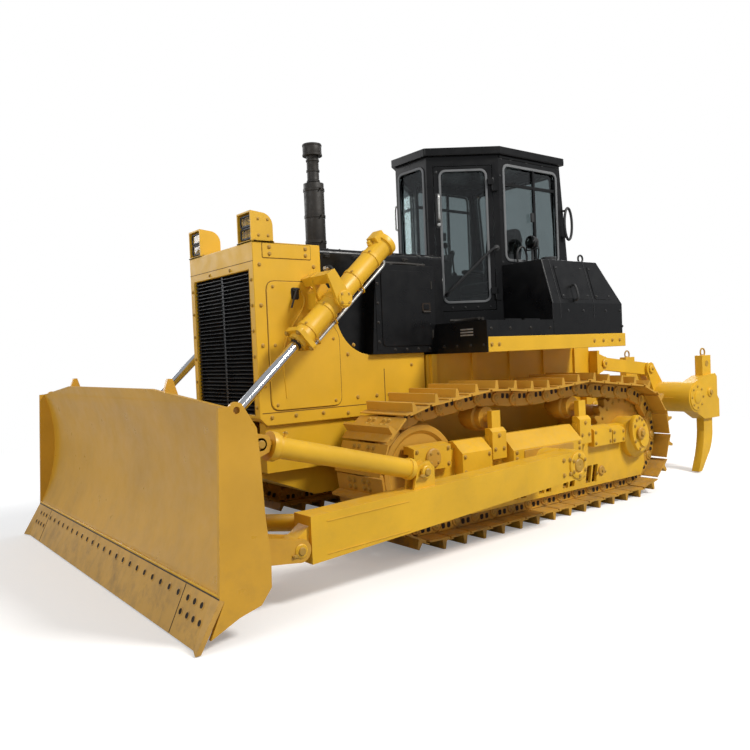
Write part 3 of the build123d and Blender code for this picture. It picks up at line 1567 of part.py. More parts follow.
for side_name, hand in sides:
    with BuildPart() as barrel:
        with BuildSketch(cross_plane(lift_pivot, lift_turn, -lift_tail, hand * lift_y)):
            Circle(lift_barrel_radius)
        extrude(amount=lift_tail + lift_gland - 60)
        with BuildSketch(cross_plane(lift_pivot, lift_turn, lift_gland - 70, hand * lift_y)):
            RectangleRounded(2 * lift_barrel_radius + 36, 2 * lift_barrel_radius + 36, 30)
        extrude(amount=40)
        with BuildSketch(cross_plane(lift_pivot, lift_turn, lift_gland - 70, hand * lift_y)):
            Circle(lift_barrel_radius - 8)
        extrude(amount=70)
        # bands at the trunnion and at the cap
        with BuildSketch(cross_plane(lift_pivot, lift_turn, -52, hand * lift_y)):
            Circle(lift_barrel_radius + 8)
        extrude(amount=104)
        with BuildSketch(cross_plane(lift_pivot, lift_turn, -lift_tail, hand * lift_y)):
            Circle(lift_barrel_radius + 16)
        extrude(amount=46)
        # valve block on the cap
        with BuildSketch(cross_plane(lift_pivot, lift_turn, -lift_tail, hand * lift_y)):
            with Locations((lift_barrel_radius - 10, 0)):
                Rectangle(90, 110)
        extrude(amount=96)
        with BuildSketch(side(hand * lift_y)):
            with Locations(lift_pivot):
                Circle(lift_pin_radius)
        extrude(amount=lift_pin_half, both=True)
        with BuildSketch(cross_plane(lift_pivot, lift_turn, -lift_tail + 30, hand * lift_y)):
            Circle(lift_rod_radius + pin_gap)
        extrude(amount=lift_tail + lift_gland, mode=Mode.SUBTRACT)
    keep(barrel, "lift_barrel_" + side_name)
    with BuildPart() as rod:
        rod_start = lift_gland - rod_inside
        with BuildSketch(cross_plane(lift_pivot, lift_turn, rod_start, hand * lift_y)):
            Circle(lift_rod_radius)
        extrude(amount=lift_reach - lift_eye_radius + 10 - rod_start)
        with BuildSketch(side(hand * lift_y)):
            with Locations(lift_pin):
                Circle(lift_eye_radius)
        extrude(amount=lift_eye_width / 2, both=True)
        with BuildSketch(side(hand * lift_y)):
            with Locations(lift_pin):
                Circle(lift_pin_radius - 8)
        extrude(amount=lift_eye_pin_half, both=True)
    keep(rod, "lift_rod_" + side_name)

with BuildPart() as lift_yokes:
    for hand in (1, -1):
        for lug_y, inner in ((lift_y - lug_offset, True), (lift_y + lug_offset, False)):
            with BuildSketch(side(hand * lug_y)):
                with Locations(lift_pivot):
                    Circle(yoke_boss)
                with BuildLine():
                    Polyline(
                        along(lift_pivot, yoke_turn, 0, yoke_boss - 6),
                        along(lift_pivot, yoke_turn, yoke_bridge + 40, 40),
                        along(lift_pivot, yoke_turn, yoke_bridge + 40, -40),
                        along(lift_pivot, yoke_turn, 0, -yoke_boss + 6),
                        close=True,
                    )
                make_face()
                with Locations(lift_pivot):
                    Circle(lift_pin_radius + pin_gap, mode=Mode.SUBTRACT)
            extrude(amount=ear / 2, both=True)
        # bridge over the barrel, carried on to the guard's side
        bridge_x, bridge_z = along(lift_pivot, yoke_turn, yoke_bridge)
        with BuildSketch(Plane(origin=(bridge_x, hand * (guard_half_width + seat_gap), bridge_z),
                               x_dir=(cos(yoke_turn), 0, sin(yoke_turn)), z_dir=(0, hand, 0))):
            Rectangle(70, 80)
        extrude(amount=lift_y + lug_offset - guard_half_width)
        # box on the guard's side that carries the inner ear
        with BuildSketch(side(hand * (guard_half_width + seat_gap))):
            Polygon(*[(lift_pivot[0] + x, lift_pivot[1] + z) for x, z in yoke_box], align=None)
        extrude(amount=-hand * (lift_y - lug_offset - guard_half_width - seat_gap))
        with BuildSketch(side(hand * (lift_y - lift_pin_half - 5))):
            with Locations(lift_pivot):
                Circle(lift_pin_radius + pin_gap)
        extrude(amount=-hand * lug_offset, mode=Mode.SUBTRACT)
keep(lift_yokes, "lift_yokes")

# ----------------------------------------------------------------------------------------------
# Ripper: bracket, parallel arms and links, beam with three shanks, two cylinders
# ----------------------------------------------------------------------------------------------
low_pin = (at(ripper_a[0]), ripper_a[1])
high_pin = (low_pin[0], low_pin[1] + ripper_link_rise)
beam_low_pin = (at(ripper_c[0]), ripper_c[1])
beam_high_pin = (beam_low_pin[0], beam_low_pin[1] + ripper_link_rise)
tube_centre = (at(beam_centre[0]), beam_centre[1])
ear_gap = 4.0


def ear_pair(middle, width):
    """Middles of the two ears that stand either side of an eye of this width."""
    reach = width / 2 + ear_gap + ear / 2
    return (middle - reach, middle + reach)


def link_between(first, second, radius, height, middle_y, width):
    """Bar with a round eye at each end."""
    turn = atan2(second[1] - first[1], second[0] - first[0])
    with BuildSketch(side(middle_y)) as profile:
        with BuildLine():
            Polyline(
                along(first, turn, 0, height / 2),
                along(second, turn, 0, height / 2),
                along(second, turn, 0, -height / 2),
                along(first, turn, 0, -height / 2),
                close=True,
            )
        make_face()
        with Locations(first, second):
            Circle(radius)
    extrude(profile.sketch, amount=width / 2, both=True)


def bore(centre, radius, middle_y, half_length):
    """Cut a round hole through whatever stands there."""
    with BuildSketch(side(middle_y)) as hole:
        with Locations(centre):
            Circle(radius)
    extrude(hole.sketch, amount=half_length, both=True, mode=Mode.SUBTRACT)


def pin(centre, radius, middle_y, half_length):
    """Add a round pin across the machine."""
    with BuildSketch(side(middle_y)) as shape:
        with Locations(centre):
            Circle(radius)
    extrude(shape.sketch, amount=half_length, both=True)


bracket_face = at(case_back) - seat_gap
bracket_plate = 40.0
bracket_top = platform_bottom - 40
bracket_steps = (               # half width, bottom
    (case_half_width - 10, ripper_a[1] - 160),
    (ripper_arm_y + ripper_arm_width / 2 + ear_gap + ear + 10, ripper_a[1] - 50),
    (ripper_link_y + ripper_link_width / 2 + ear_gap + ear + 10, high_pin[1] - 110),
)
cyl_eye_width = 90.0
cyl_eye_radius = 66.0
barrel_neck = ripper_eye_radius + 12    # pin to the barrel's end cap
with BuildPart() as ripper_bracket:
    with BuildSketch(section(bracket_face - bracket_plate)):
        for half, bottom in bracket_steps:
            with Locations((0, (bottom + bracket_top) / 2)):
                Rectangle(2 * half, bracket_top - bottom)
    extrude(amount=bracket_plate)
    for hand in (1, -1):
        places = (
            (low_pin, ear_pair(ripper_arm_y, ripper_arm_width), 50),
            (high_pin, ear_pair(ripper_cyl_y, cyl_eye_width), 110),
            (high_pin, ear_pair(ripper_link_y, ripper_link_width), 110),
        )
        for centre, ears, root in places:
            for ear_y in ears:
                with BuildSketch(side(hand * ear_y)):
                    with BuildLine():
                        Polyline(
                            (bracket_face - bracket_plate + 5, centre[1] + 110),
                            (centre[0], centre[1] + ripper_eye_radius),
                            (centre[0], centre[1] - ripper_eye_radius),
                            (bracket_face - bracket_plate + 5, centre[1] - root),
                            close=True,
                        )
                    make_face()
                    with Locations(centre):
                        Circle(ripper_eye_radius)
                extrude(amount=ear / 2, both=True)
        bore(low_pin, ripper_pin_radius + pin_gap, hand * ripper_arm_y, 120)
        bore(high_pin, ripper_pin_radius + pin_gap, hand * ripper_cyl_y, 120)
        bore(high_pin, ripper_pin_radius + pin_gap, hand * ripper_link_y, 120)
keep(ripper_bracket, "ripper_bracket")

arm_tie = 125.0                 # lower pin to the tube that ties the two arms
arm_tie_radius = 38.0
arm_pin_reach = ripper_arm_width / 2 + ear_gap + ear + 8
with BuildPart() as ripper_arms:
    for hand in (1, -1):
        link_between(low_pin, beam_low_pin, ripper_eye_radius, 120, hand * ripper_arm_y, ripper_arm_width)
        pin(low_pin, ripper_pin_radius, hand * ripper_arm_y, arm_pin_reach)
        bore(beam_low_pin, ripper_pin_radius + pin_gap, hand * ripper_arm_y, ripper_arm_width)
    tie_turn = atan2(beam_low_pin[1] - low_pin[1], beam_low_pin[0] - low_pin[0])
    pin(along(low_pin, tie_turn, arm_tie, 0), arm_tie_radius, 0, ripper_arm_y)
keep(ripper_arms, "ripper_arms")

link_pin_reach = ripper_link_width / 2 + ear_gap + ear + 8
with BuildPart() as ripper_links:
    for hand in (1, -1):
        link_between(high_pin, beam_high_pin, ripper_eye_radius, 136, hand * ripper_link_y, ripper_link_width)
        pin(high_pin, ripper_pin_radius, hand * ripper_link_y, link_pin_reach)
        pin(beam_high_pin, ripper_pin_radius, hand * ripper_link_y, link_pin_reach)
keep(ripper_links, "ripper_links")

# Beam: round tube with shank pockets behind it and ears in front of it
shank_places = (-shank_y, 0, shank_y)
shank_x = at(-rear_reach) + pocket_back + shank_depth / 2
pocket_drop = 262.0             # below the tube's centre
pocket_rise = 248.0             # above it
with BuildPart() as ripper_beam:
    pin(tube_centre, beam_radius, 0, beam_half)
    # end caps
    pin(tube_centre, beam_radius - 22, 0, beam_half + 10)
    for shank_place in shank_places:
        # pocket: block round the shank
        with BuildSketch(side(shank_place)):
            with BuildLine():
                Polyline(
                    (at(-rear_reach), tube_centre[1] - pocket_drop),
                    (shank_x + shank_depth / 2 + 30, tube_centre[1] - pocket_drop),
                    (tube_centre[0], tube_centre[1] - beam_radius + 5),
                    (tube_centre[0], tube_centre[1] + beam_radius - 5),
                    (shank_x + shank_depth / 2 + 20, tube_centre[1] + pocket_rise - 20),
                    (shank_x - shank_depth / 2 - 30, tube_centre[1] + pocket_rise),
                    (at(-rear_reach) + 38, tube_centre[1] + pocket_rise - 40),
                    (at(-rear_reach) + 38, tube_centre[1] - 10),
                    (at(-rear_reach), tube_centre[1] - 60),
                    close=True,
                )
            make_face()
        extrude(amount=shank_thickness / 2 + ear, both=True)
    for hand in (1, -1):
        for ear_y in ear_pair(ripper_arm_y, ripper_arm_width):
            with BuildSketch(side(hand * ear_y)):
                with BuildLine():
                    Polyline(
                        (tube_centre[0], tube_centre[1] + beam_radius - 5),
                        (beam_low_pin[0] + 20, beam_low_pin[1] + ripper_eye_radius),
                        (beam_low_pin[0] + 20, beam_low_pin[1] - ripper_eye_radius),
                        (tube_centre[0], tube_centre[1] - beam_radius + 5),
                        close=True,
                    )
                make_face()
                with Locations(beam_low_pin):
                    Circle(ripper_eye_radius)
            extrude(amount=ear / 2, both=True)
        for ear_y in ear_pair(ripper_cyl_y, 2 * (ripper_barrel_radius + 18)):
            with BuildSketch(side(hand * ear_y)):
                with BuildLine():
                    Polyline(
                        (tube_centre[0], tube_centre[1] + beam_radius - 5),
                        (beam_low_pin[0] + 20, beam_low_pin[1] + ripper_eye_radius),
                        (beam_low_pin[0] + 20, beam_low_pin[1] - ripper_eye_radius),
                        (tube_centre[0], tube_centre[1] - beam_radius + 5),
                        close=True,
                    )
                make_face()
            extrude(amount=ear / 2, both=True)
        for ear_y in ear_pair(ripper_link_y, ripper_link_width):
            with BuildSketch(side(hand * ear_y)):
                with BuildLine():
                    Polyline(
                        (tube_centre[0] - 110, tube_centre[1] + 60),
                        (beam_high_pin[0] - ripper_eye_radius + 8, beam_high_pin[1] + 30),
                        (beam_high_pin[0] + ripper_eye_radius - 8, beam_high_pin[1] - 30),
                        (tube_centre[0] + 150, tube_centre[1] + 40),
                        close=True,
                    )
                make_face()
                with Locations(beam_high_pin):
                    Circle(ripper_eye_radius)
            extrude(amount=ear / 2, both=True)
            bore(beam_high_pin, ripper_pin_radius + pin_gap, hand * ear_y, ear)
        pin(beam_low_pin, ripper_pin_radius, hand * ripper_arm_y, ripper_arm_width / 2 + ear_gap + 5)
    # the pockets' slots, right through
    for shank_place in shank_places:
        with BuildSketch(plan(tube_centre[1] - pocket_drop - 10)):
            with Locations((shank_x, shank_place)):
                Rectangle(shank_depth + 2 * seat_gap, shank_thickness + 2 * seat_gap)
        extrude(amount=pocket_drop + pocket_rise + 20, mode=Mode.SUBTRACT)
keep(ripper_beam, "ripper_beam")

with BuildPart() as ripper_shanks:
    for shank_place in shank_places:
        with BuildSketch(side(shank_place)):
            with BuildLine():
                front = shank_x + shank_depth / 2
                back = shank_x - shank_depth / 2
                ahead = [(front + x, z) for x, z in shank_front]
                behind = [(back + x, z) for x, z in shank_rear]
                tip = ahead[3]
                Polyline(behind[3], (back, shank_top), (front, shank_top), ahead[0])
                ThreePointArc(ahead[0], ahead[1], ahead[2])
                Polyline(ahead[2], tip, (tip[0] - shank_tip_width, tip[1]), behind[0], behind[1])
                ThreePointArc(behind[1], behind[2], behind[3])
            make_face()
            with Locations((shank_x, shank_top - 95)):
                Circle(24, mode=Mode.SUBTRACT)
        extrude(amount=shank_thickness / 2, both=True)
keep(ripper_shanks, "ripper_shanks")

# Ripper cylinders: from the bracket's upper pin down to the beam
ripper_turn = atan2(beam_low_pin[1] - high_pin[1], beam_low_pin[0] - high_pin[0])
ripper_reach = hypot(beam_low_pin[1] - high_pin[1], beam_low_pin[0] - high_pin[0])
for side_name, hand in sides:
    cyl_y = hand * ripper_cyl_y
    with BuildPart() as barrel:
        with BuildSketch(cross_plane(high_pin, ripper_turn, barrel_neck, cyl_y)):
            Circle(ripper_barrel_radius)
        extrude(amount=ripper_gland - barrel_neck)
        with BuildSketch(cross_plane(high_pin, ripper_turn, 0, cyl_y)):
            Rectangle(cyl_eye_width, cyl_eye_width)
        extrude(amount=barrel_neck + 5)
        pin(high_pin, cyl_eye_radius, cyl_y, cyl_eye_width / 2)
        pin(high_pin, ripper_pin_radius, cyl_y, cyl_eye_width / 2 + ear_gap + ear + 8)
        with BuildSketch(cross_plane(high_pin, ripper_turn, barrel_neck + 30, cyl_y)):
            Circle(ripper_rod_radius + pin_gap)
        extrude(amount=ripper_gland, mode=Mode.SUBTRACT)
    keep(barrel, "ripper_barrel_" + side_name)
    with BuildPart() as rod:
        rod_start = ripper_gland - ripper_rod_inside
        with BuildSketch(cross_plane(high_pin, ripper_turn, rod_start, cyl_y)):
            Circle(ripper_rod_radius)
        extrude(amount=ripper_reach - cyl_eye_radius + 8 - rod_start)
        pin(beam_low_pin, cyl_eye_radius, cyl_y, cyl_eye_width / 2)
    keep(rod, "ripper_rod_" + side_name)
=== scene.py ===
from math import asin, atan2, copysign, cos, dist, hypot, pi, radians, sin, sqrt

import bmesh
import bpy
from mathutils import Matrix, Vector


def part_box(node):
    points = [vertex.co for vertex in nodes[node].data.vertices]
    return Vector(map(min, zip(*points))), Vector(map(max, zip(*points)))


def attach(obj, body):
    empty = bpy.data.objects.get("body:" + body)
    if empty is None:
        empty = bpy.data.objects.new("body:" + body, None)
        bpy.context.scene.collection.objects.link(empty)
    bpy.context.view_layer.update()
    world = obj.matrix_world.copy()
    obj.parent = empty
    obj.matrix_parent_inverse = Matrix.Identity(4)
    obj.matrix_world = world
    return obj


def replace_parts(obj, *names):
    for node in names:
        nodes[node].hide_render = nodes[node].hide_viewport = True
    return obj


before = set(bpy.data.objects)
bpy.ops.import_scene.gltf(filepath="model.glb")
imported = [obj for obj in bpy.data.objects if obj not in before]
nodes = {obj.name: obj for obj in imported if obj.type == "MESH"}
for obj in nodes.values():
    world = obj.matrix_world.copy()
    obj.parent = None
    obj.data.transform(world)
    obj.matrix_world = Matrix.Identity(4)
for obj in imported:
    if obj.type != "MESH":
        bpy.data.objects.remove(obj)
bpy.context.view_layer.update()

# === Camera, lamps and floor ===
CAMERA_PLACE = Vector((4.922, 5.366, 1.506))
CAMERA_AZIMUTH, CAMERA_PITCH, CAMERA_ROLL = radians(232.33), 0.029, -0.0421
CAMERA_LENS = 35.2
SKY_COLOUR, SKY_LIGHT = (0.93, 0.96, 1.0, 1), 0.42
WHITE = (1, 1, 1, 1)
FLOOR_HALF = 60.0
FLOOR_LIFT = 0.22            # light added to the floor that the camera sees, so its shadows stay pale
FLOOR_FADE = (4.5, 9.5)      # distances between which that floor turns plain white
LAMPS = (                    # name, place, target, size, power and colour
    ("key", (-3.5, 10.5, 11.5), (0.3, 0, 1), 3.5, 1900, (1.0, 0.98, 0.94)),
    ("fill", (12, 3, 5), (0, 0, 1), 8.0, 380, (1, 1, 1)),
    ("side", (5, -12, 6), (0, 0, 1), 6.0, 450, (1, 1, 1)),
    ("rear", (-12, -4, 6), (0, 0, 1), 6.0, 400, (1, 1, 1)),
)


def place_object(name, data):
    obj = bpy.data.objects.new(name, data)
    bpy.context.scene.collection.objects.link(obj)
    return obj


def add_node(tree, kind, inputs=None, **settings):
    """New node. Each input is a constant, or another node's output."""
    made = tree.nodes.new(kind)
    for key, value in settings.items():
        setattr(made, key, value)
    for name, value in (inputs or {}).items():
        feed(tree, value, made.inputs[name])
    return made


def feed(tree, value, socket):
    if isinstance(value, bpy.types.NodeSocket):
        tree.links.new(value, socket)
    else:
        socket.default_value = value


def seen_or_not(tree, seen, unseen):
    """One shader for what the camera sees, and another for the light that bounces."""
    camera_ray = add_node(tree, "ShaderNodeLightPath").outputs["Is Camera Ray"]
    inputs = {"Fac": camera_ray, 1: unseen.outputs[0], 2: seen.outputs[0]}
    return add_node(tree, "ShaderNodeMixShader", inputs).outputs[0]


def add_camera():
    data = bpy.data.cameras.new("view")
    data.lens = CAMERA_LENS
    data.sensor_width = 36.0
    data.clip_end = 200.0
    camera = place_object("view", data)
    camera.matrix_world = (
        Matrix.Translation(CAMERA_PLACE)
        @ Matrix.Rotation(CAMERA_AZIMUTH - pi / 2, 4, "Z")
        @ Matrix.Rotation(pi / 2 - CAMERA_PITCH, 4, "X")
        @ Matrix.Rotation(CAMERA_ROLL, 4, "Z")
    )
    bpy.context.scene.camera = camera


def add_lamp(name, place, target, size, power, colour):
    data = bpy.data.lights.new(name, "AREA")
    data.shape = "DISK"
    data.size = size
    data.energy = power
    data.color = colour
    lamp = place_object(name, data)
    lamp.location = place
    lamp.rotation_euler = (Vector(target) - Vector(place)).to_track_quat("-Z", "Y").to_euler()


def add_world():
    """Soft sky on the machine, and plain white behind it."""
    world = bpy.data.worlds.new("sky")
    world.use_nodes = True
    tree = world.node_tree
    tree.nodes.clear()
    soft = add_node(tree, "ShaderNodeBackground", {"Color": SKY_COLOUR, "Strength": SKY_LIGHT})
    white = add_node(tree, "ShaderNodeBackground", {"Color": WHITE})
    add_node(tree, "ShaderNodeOutputWorld", {"Surface": seen_or_not(tree, white, soft)})
    bpy.context.scene.world = world


def add_floor():
    """Pale floor: the camera sees it fade to white, and the machine gets a greyer bounce from it."""
    mesh = bpy.data.meshes.new("floor")
    corners = [(x * FLOOR_HALF, y * FLOOR_HALF, 0) for x, y in ((-1, -1), (1, -1), (1, 1), (-1, 1))]
    mesh.from_pydata(corners, [], [(0, 1, 2, 3)])
    material = bpy.data.materials.new("floor_white")
    material.use_nodes = True
    tree = material.node_tree
    pale = tree.nodes["Principled BSDF"]
    pale.inputs["Base Color"].default_value = (0.86, 0.86, 0.86, 1)
    pale.inputs["Roughness"].default_value = 0.9
    lift = add_node(tree, "ShaderNodeEmission", {"Strength": FLOOR_LIFT})
    lit = add_node(tree, "ShaderNodeAddShader", {0: pale.outputs[0], 1: lift.outputs[0]})
    place = add_node(tree, "ShaderNodeTexCoord").outputs["Object"]
    reach = add_node(tree, "ShaderNodeVectorMath", {0: place}, operation="LENGTH").outputs["Value"]
    ends = {"Value": reach, "From Min": FLOOR_FADE[0], "From Max": FLOOR_FADE[1]}
    fade = add_node(tree, "ShaderNodeMapRange", ends, interpolation_type="SMOOTHSTEP")
    glow = add_node(tree, "ShaderNodeEmission", {"Color": WHITE})
    seen = add_node(tree, "ShaderNodeMixShader", {0: fade.outputs[0], 1: lit.outputs[0], 2: glow.outputs[0]})
    bounce = add_node(tree, "ShaderNodeBsdfDiffuse", {"Color": (0.42, 0.42, 0.42, 1)})
    feed(tree, seen_or_not(tree, seen, bounce), tree.nodes["Material Output"].inputs["Surface"])
    mesh.materials.append(material)
    place_object("floor", mesh)


add_camera()
add_world()
add_floor()
bpy.context.scene.view_settings.view_transform = "Standard"
for lamp in LAMPS:
    add_lamp(*lamp)

# === Materials ===
# the first colour darkens paint low down, as dirt and painted shade under the machine; the second is dust on
# top faces
DIRT_AND_SHADE, DUST = (0.16, 0.105, 0.05), (0.42, 0.35, 0.25)
MIX_FACTOR, MIX_FIRST, MIX_SECOND, MIX_RESULT = 0, 6, 7, 2      # the sockets of a Mix node of colours


class Shader:
    """One node material, built a node at a time."""

    def __init__(self, name):
        self.material = bpy.data.materials.new(name)
        self.material.use_nodes = True
        self.tree = self.material.node_tree
        self.place = self.node("ShaderNodeTexCoord").outputs["Object"]

    def node(self, kind, inputs=None, **settings):
        return add_node(self.tree, kind, inputs, **settings)

    def noise(self, scale, detail=4.0, rough=0.55):
        inputs = {"Vector": self.place, "Scale": scale, "Detail": detail, "Roughness": rough}
        return self.node("ShaderNodeTexNoise", inputs).outputs["Fac"]

    def ramp(self, source, low, high, bottom=0.0, top=1.0):
        """What runs from low to high, made to run from bottom to top."""
        inputs = {"Value": source, "From Min": low, "From Max": high, "To Min": bottom, "To Max": top}
        return self.node("ShaderNodeMapRange", inputs, clamp=True).outputs["Result"]

    def mix(self, factor, first, second):
        """Blend of two colours, each a constant or an output."""
        first, second = ((*value, 1) if isinstance(value, tuple) else value for value in (first, second))
        inputs = {MIX_FACTOR: factor, MIX_FIRST: first, MIX_SECOND: second}
        return self.node("ShaderNodeMix", inputs, data_type="RGBA").outputs[MIX_RESULT]

    def product(self, first, second):
        return self.node("ShaderNodeMath", {0: first, 1: second}, operation="MULTIPLY").outputs[0]

    def z_of(self, vector):
        return self.node("ShaderNodeSeparateXYZ", {"Vector": vector}).outputs["Z"]

    def bump(self, source, strength, distance):
        inputs = {"Height": source, "Strength": strength, "Distance": distance}
        return self.node("ShaderNodeBump", inputs).outputs["Normal"]

    def done(self, inputs):
        for name, value in inputs.items():
            feed(self.tree, value, self.tree.nodes["Principled BSDF"].inputs[name])
        return self.material


def darker(colour, share):
    return tuple(channel * share for channel in colour)


def paint(name, colour, rough=0.42, dust=0.25, grime_and_shade=0.2, coat=0.0, specular=0.5):
    """Sprayed enamel on plate: slight mottling, dust on top faces, and darker patches low down that are dirt
    and painted shade under the machine.
    """
    s = Shader(name)
    base = s.mix(s.ramp(s.noise(1.7, 5), 0.35, 0.68), colour, darker(colour, 0.82))
    # patches that darken towards the ground: dirt and painted shade under the machine
    low = s.ramp(s.z_of(s.place), 0.9, 0.05)
    patches = s.ramp(s.noise(6.5, 8, 0.7), 0.46, 0.72)
    base = s.mix(s.product(s.product(low, patches), grime_and_shade), base, DIRT_AND_SHADE)
    facing_up = s.ramp(s.z_of(s.node("ShaderNodeNewGeometry").outputs["Normal"]), 0.4, 0.95)
    specks = s.ramp(s.noise(22, 8, 0.72), 0.42, 0.7)
    return s.done({
        "Base Color": s.mix(s.product(s.product(facing_up, specks), dust), base, DUST),
        "Roughness": s.ramp(s.noise(9, 6), 0.3, 0.75, rough - 0.06, rough + 0.16),
        "Specular IOR Level": specular,
        "Coat Weight": coat,
        "Coat Roughness": 0.2,
        "Normal": s.bump(s.noise(60, 3), 0.06, 0.002),
    })


def steel(name, colour, rough, metal, scale=14):
    """Bare or blued steel with uneven tone."""
    s = Shader(name)
    return s.done({
        "Base Color": s.mix(s.ramp(s.noise(scale, 8, 0.7), 0.35, 0.7), colour, darker(colour, 0.55)),
        "Metallic": metal,
        "Roughness": s.ramp(s.noise(scale * 2, 6), 0.3, 0.75, rough - 0.1, rough + 0.15),
        "Normal": s.bump(s.noise(scale * 5, 4), 0.15, 0.002),
    })


def chrome(name):
    s = Shader(name)
    gloss = s.ramp(s.noise(30, 4), 0.3, 0.7, 0.06, 0.16)
    return s.done({"Base Color": (0.72, 0.73, 0.75, 1), "Metallic": 1.0, "Roughness": gloss})


def glass(name, colour):
    clear = {"Base Color": (*colour, 1), "Roughness": 0.02, "IOR": 1.45, "Transmission Weight": 1.0}
    return Shader(name).done(clear)


def plastic(name, colour, rough=0.55, grain=120):
    """Moulded plastic, rubber or cloth: fine grain and faint mottling."""
    s = Shader(name)
    return s.done({
        "Base Color": s.mix(s.ramp(s.noise(5, 5), 0.3, 0.7), colour, darker(colour, 0.75)),
        "Roughness": rough,
        "Normal": s.bump(s.noise(grain, 3), 0.12, 0.001),
    })


# each material, with a slot name from the record; Part.done unpacks that name but does not use it
MATERIALS = {
    "yellow": (paint("yellow_enamel", (0.80, 0.45, 0.016)), "yellow_paint"),
    # the blade's paint: a darker copy of the yellow enamel, painted shade of its front face
    "blade": (paint("blade_enamel_painted_shade", (0.66, 0.345, 0.024), 0.33, 0.02, 0.25, 0.15), "yellow_paint"),
    "edge": (paint("edge_enamel", (0.60, 0.33, 0.06), 0.5, 0.3, 0.6), "yellow_paint"),
    # dark brown strips that stand for the shade in seams and gaps: painted shade
    "seam_shade": (paint("painted_seam_shade", (0.22, 0.105, 0.006), 0.7, 0.0, 0.0), "yellow_paint"),
    # track paint: worn yellow, made darker than the yellow enamel as painted shade under the machine
    "track": (paint("track_enamel_and_painted_shade", (0.60, 0.31, 0.026), 0.52, 0.35, 0.8), "track_paint"),
    "bolt": (paint("bolt_paint", (0.50, 0.28, 0.03), 0.5, 0.35, 0.4), "track_paint"),
    # near-black laid in holes and recesses: painted shade
    "hollow_shade": (paint("painted_hollow_shade", (0.018, 0.009, 0.003), 0.8, 0.0, 0.0), "track_paint"),
    "black": (paint("black_enamel", (0.0045, 0.0045, 0.005), 0.30, 0.02, 0.04, 0.0, 0.32), "black_paint"),
    "dark": (steel("blued_steel", (0.026, 0.022, 0.018), 0.55, 0.2), "dark_metal"),
    "pale": (steel("pale_metal", (0.62, 0.62, 0.60), 0.35, 0.7, 30), "dark_metal"),
    "chrome": (chrome("chrome_rod"), "chrome"),
    "glass": (glass("window_glass", (0.52, 0.58, 0.58)), "glass"),
    "lamp": (glass("lamp_glass", (0.95, 0.96, 0.97)), "lamp_glass"),
    "plastic": (plastic("black_plastic", (0.02, 0.02, 0.021)), "black_plastic"),
    "rubber": (plastic("rubber", (0.018, 0.018, 0.018), 0.7, 60), "black_plastic"),
    "cloth": (plastic("seat_cloth", (0.022, 0.022, 0.024), 0.85, 300), "black_plastic"),
    "grey": (plastic("grey_rubber", (0.16, 0.165, 0.17), 0.6, 60), "black_plastic"),
}
# every node that isn't named here is yellow
NODE_MATERIAL = {
    "blade": ("blade",),
    "black": ("cab_shell", "cab_roof", "cab_door_left", "cab_door_right", "cowls", "deck", "engine_hood",
              "rear_tanks", "grille"),
    "track": ("track_left", "track_right", "sprockets", "idlers", "track_rollers", "carrier_rollers"),
    "dark": ("exhaust_stack", "engine", "radiator_core"),
    "edge": ("cutting_edge",),
    "chrome": ("lift_rod_left", "lift_rod_right", "ripper_rod_left", "ripper_rod_right"),
    "glass": ("cab_glass", "door_glass_left", "door_glass_right"),
    "lamp": ("headlamps",),
    "plastic": ("operator_seat", "consoles"),
}
kind_of = {node: kind for kind, names in NODE_MATERIAL.items() for node in names}
for name, obj in nodes.items():
    slots = obj.data.materials
    if not slots:
        slots.append(None)
    for index in range(len(slots)):
        slots[index] = MATERIALS[kind_of.get(name, "yellow")][0]

# === Places are in millimetres: x forward of the sprocket's axle, y to the left, z up from the ground ===
AXLE_X = 1495.0              # from the sprocket's axle to the middle of the frame
X, Y, Z = Vector((1, 0, 0)), Vector((0, 1, 0)), Vector((0, 0, 1))


def at(x, y, z):
    return Vector((x - AXLE_X, y, z)) / 1000


def mirrored(hand):
    """Places on one side of the machine, where y counts outwards from its middle."""
    return lambda x, y, z: at(x, hand * y, z)


# name, sign, outward direction and places of each side
SIDES = [(name, hand, Y * hand, mirrored(hand)) for name, hand in (("left", 1), ("right", -1))]


def high_corner(node):
    """The foremost, leftmost and highest reach of a node."""
    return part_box(node)[1] * 1000 + X * AXLE_X


GUARD_FRONT, GUARD_SIDE, GUARD_TOP = high_corner("radiator_guard")
DECK_FRONT, DECK_SIDE, DECK_TOP = high_corner("deck")
HOOD_SIDE, HOOD_TOP = high_corner("engine_hood").yz
STACK_TOP = high_corner("exhaust_stack").z
ROOF_TOP = high_corner("cab_roof").z
TANK_TOP = high_corner("rear_tanks").z
YOKE_SIDE = high_corner("lift_yokes").y
BEAM_SIDE = high_corner("ripper_beam").y


def rect(x, y, far_x, far_y):
    return (x, y), (far_x, y), (far_x, far_y), (x, far_y)


def rounded(x, y, width, height, radius, steps=4):
    """Rectangle with round corners about a middle point."""
    points = []
    for turn, (sx, sy) in enumerate(((1, 1), (-1, 1), (-1, -1), (1, -1))):
        for step in range(steps + 1):
            angle = pi / 2 * (turn + step / steps)
            points.append((
                x + sx * (width / 2 - radius) + radius * cos(angle),
                y + sy * (height / 2 - radius) + radius * sin(angle),
            ))
    return points


def soften(outline, radius, steps=3):
    """Outline with its corners rounded."""
    points = []
    for index, corner in enumerate(outline):
        here = Vector(corner)
        before = Vector(outline[index - 1]) - here
        after = Vector(outline[(index + 1) % len(outline)]) - here
        cut = min(radius, before.length * 0.45, after.length * 0.45)
        start = here + before.normalized() * cut
        end = here + after.normalized() * cut
        for step in range(steps + 1):
            t = step / steps
            point = start * (1 - t) ** 2 + here * 2 * t * (1 - t) + end * t * t
            points.append((point.x, point.y))
    return points


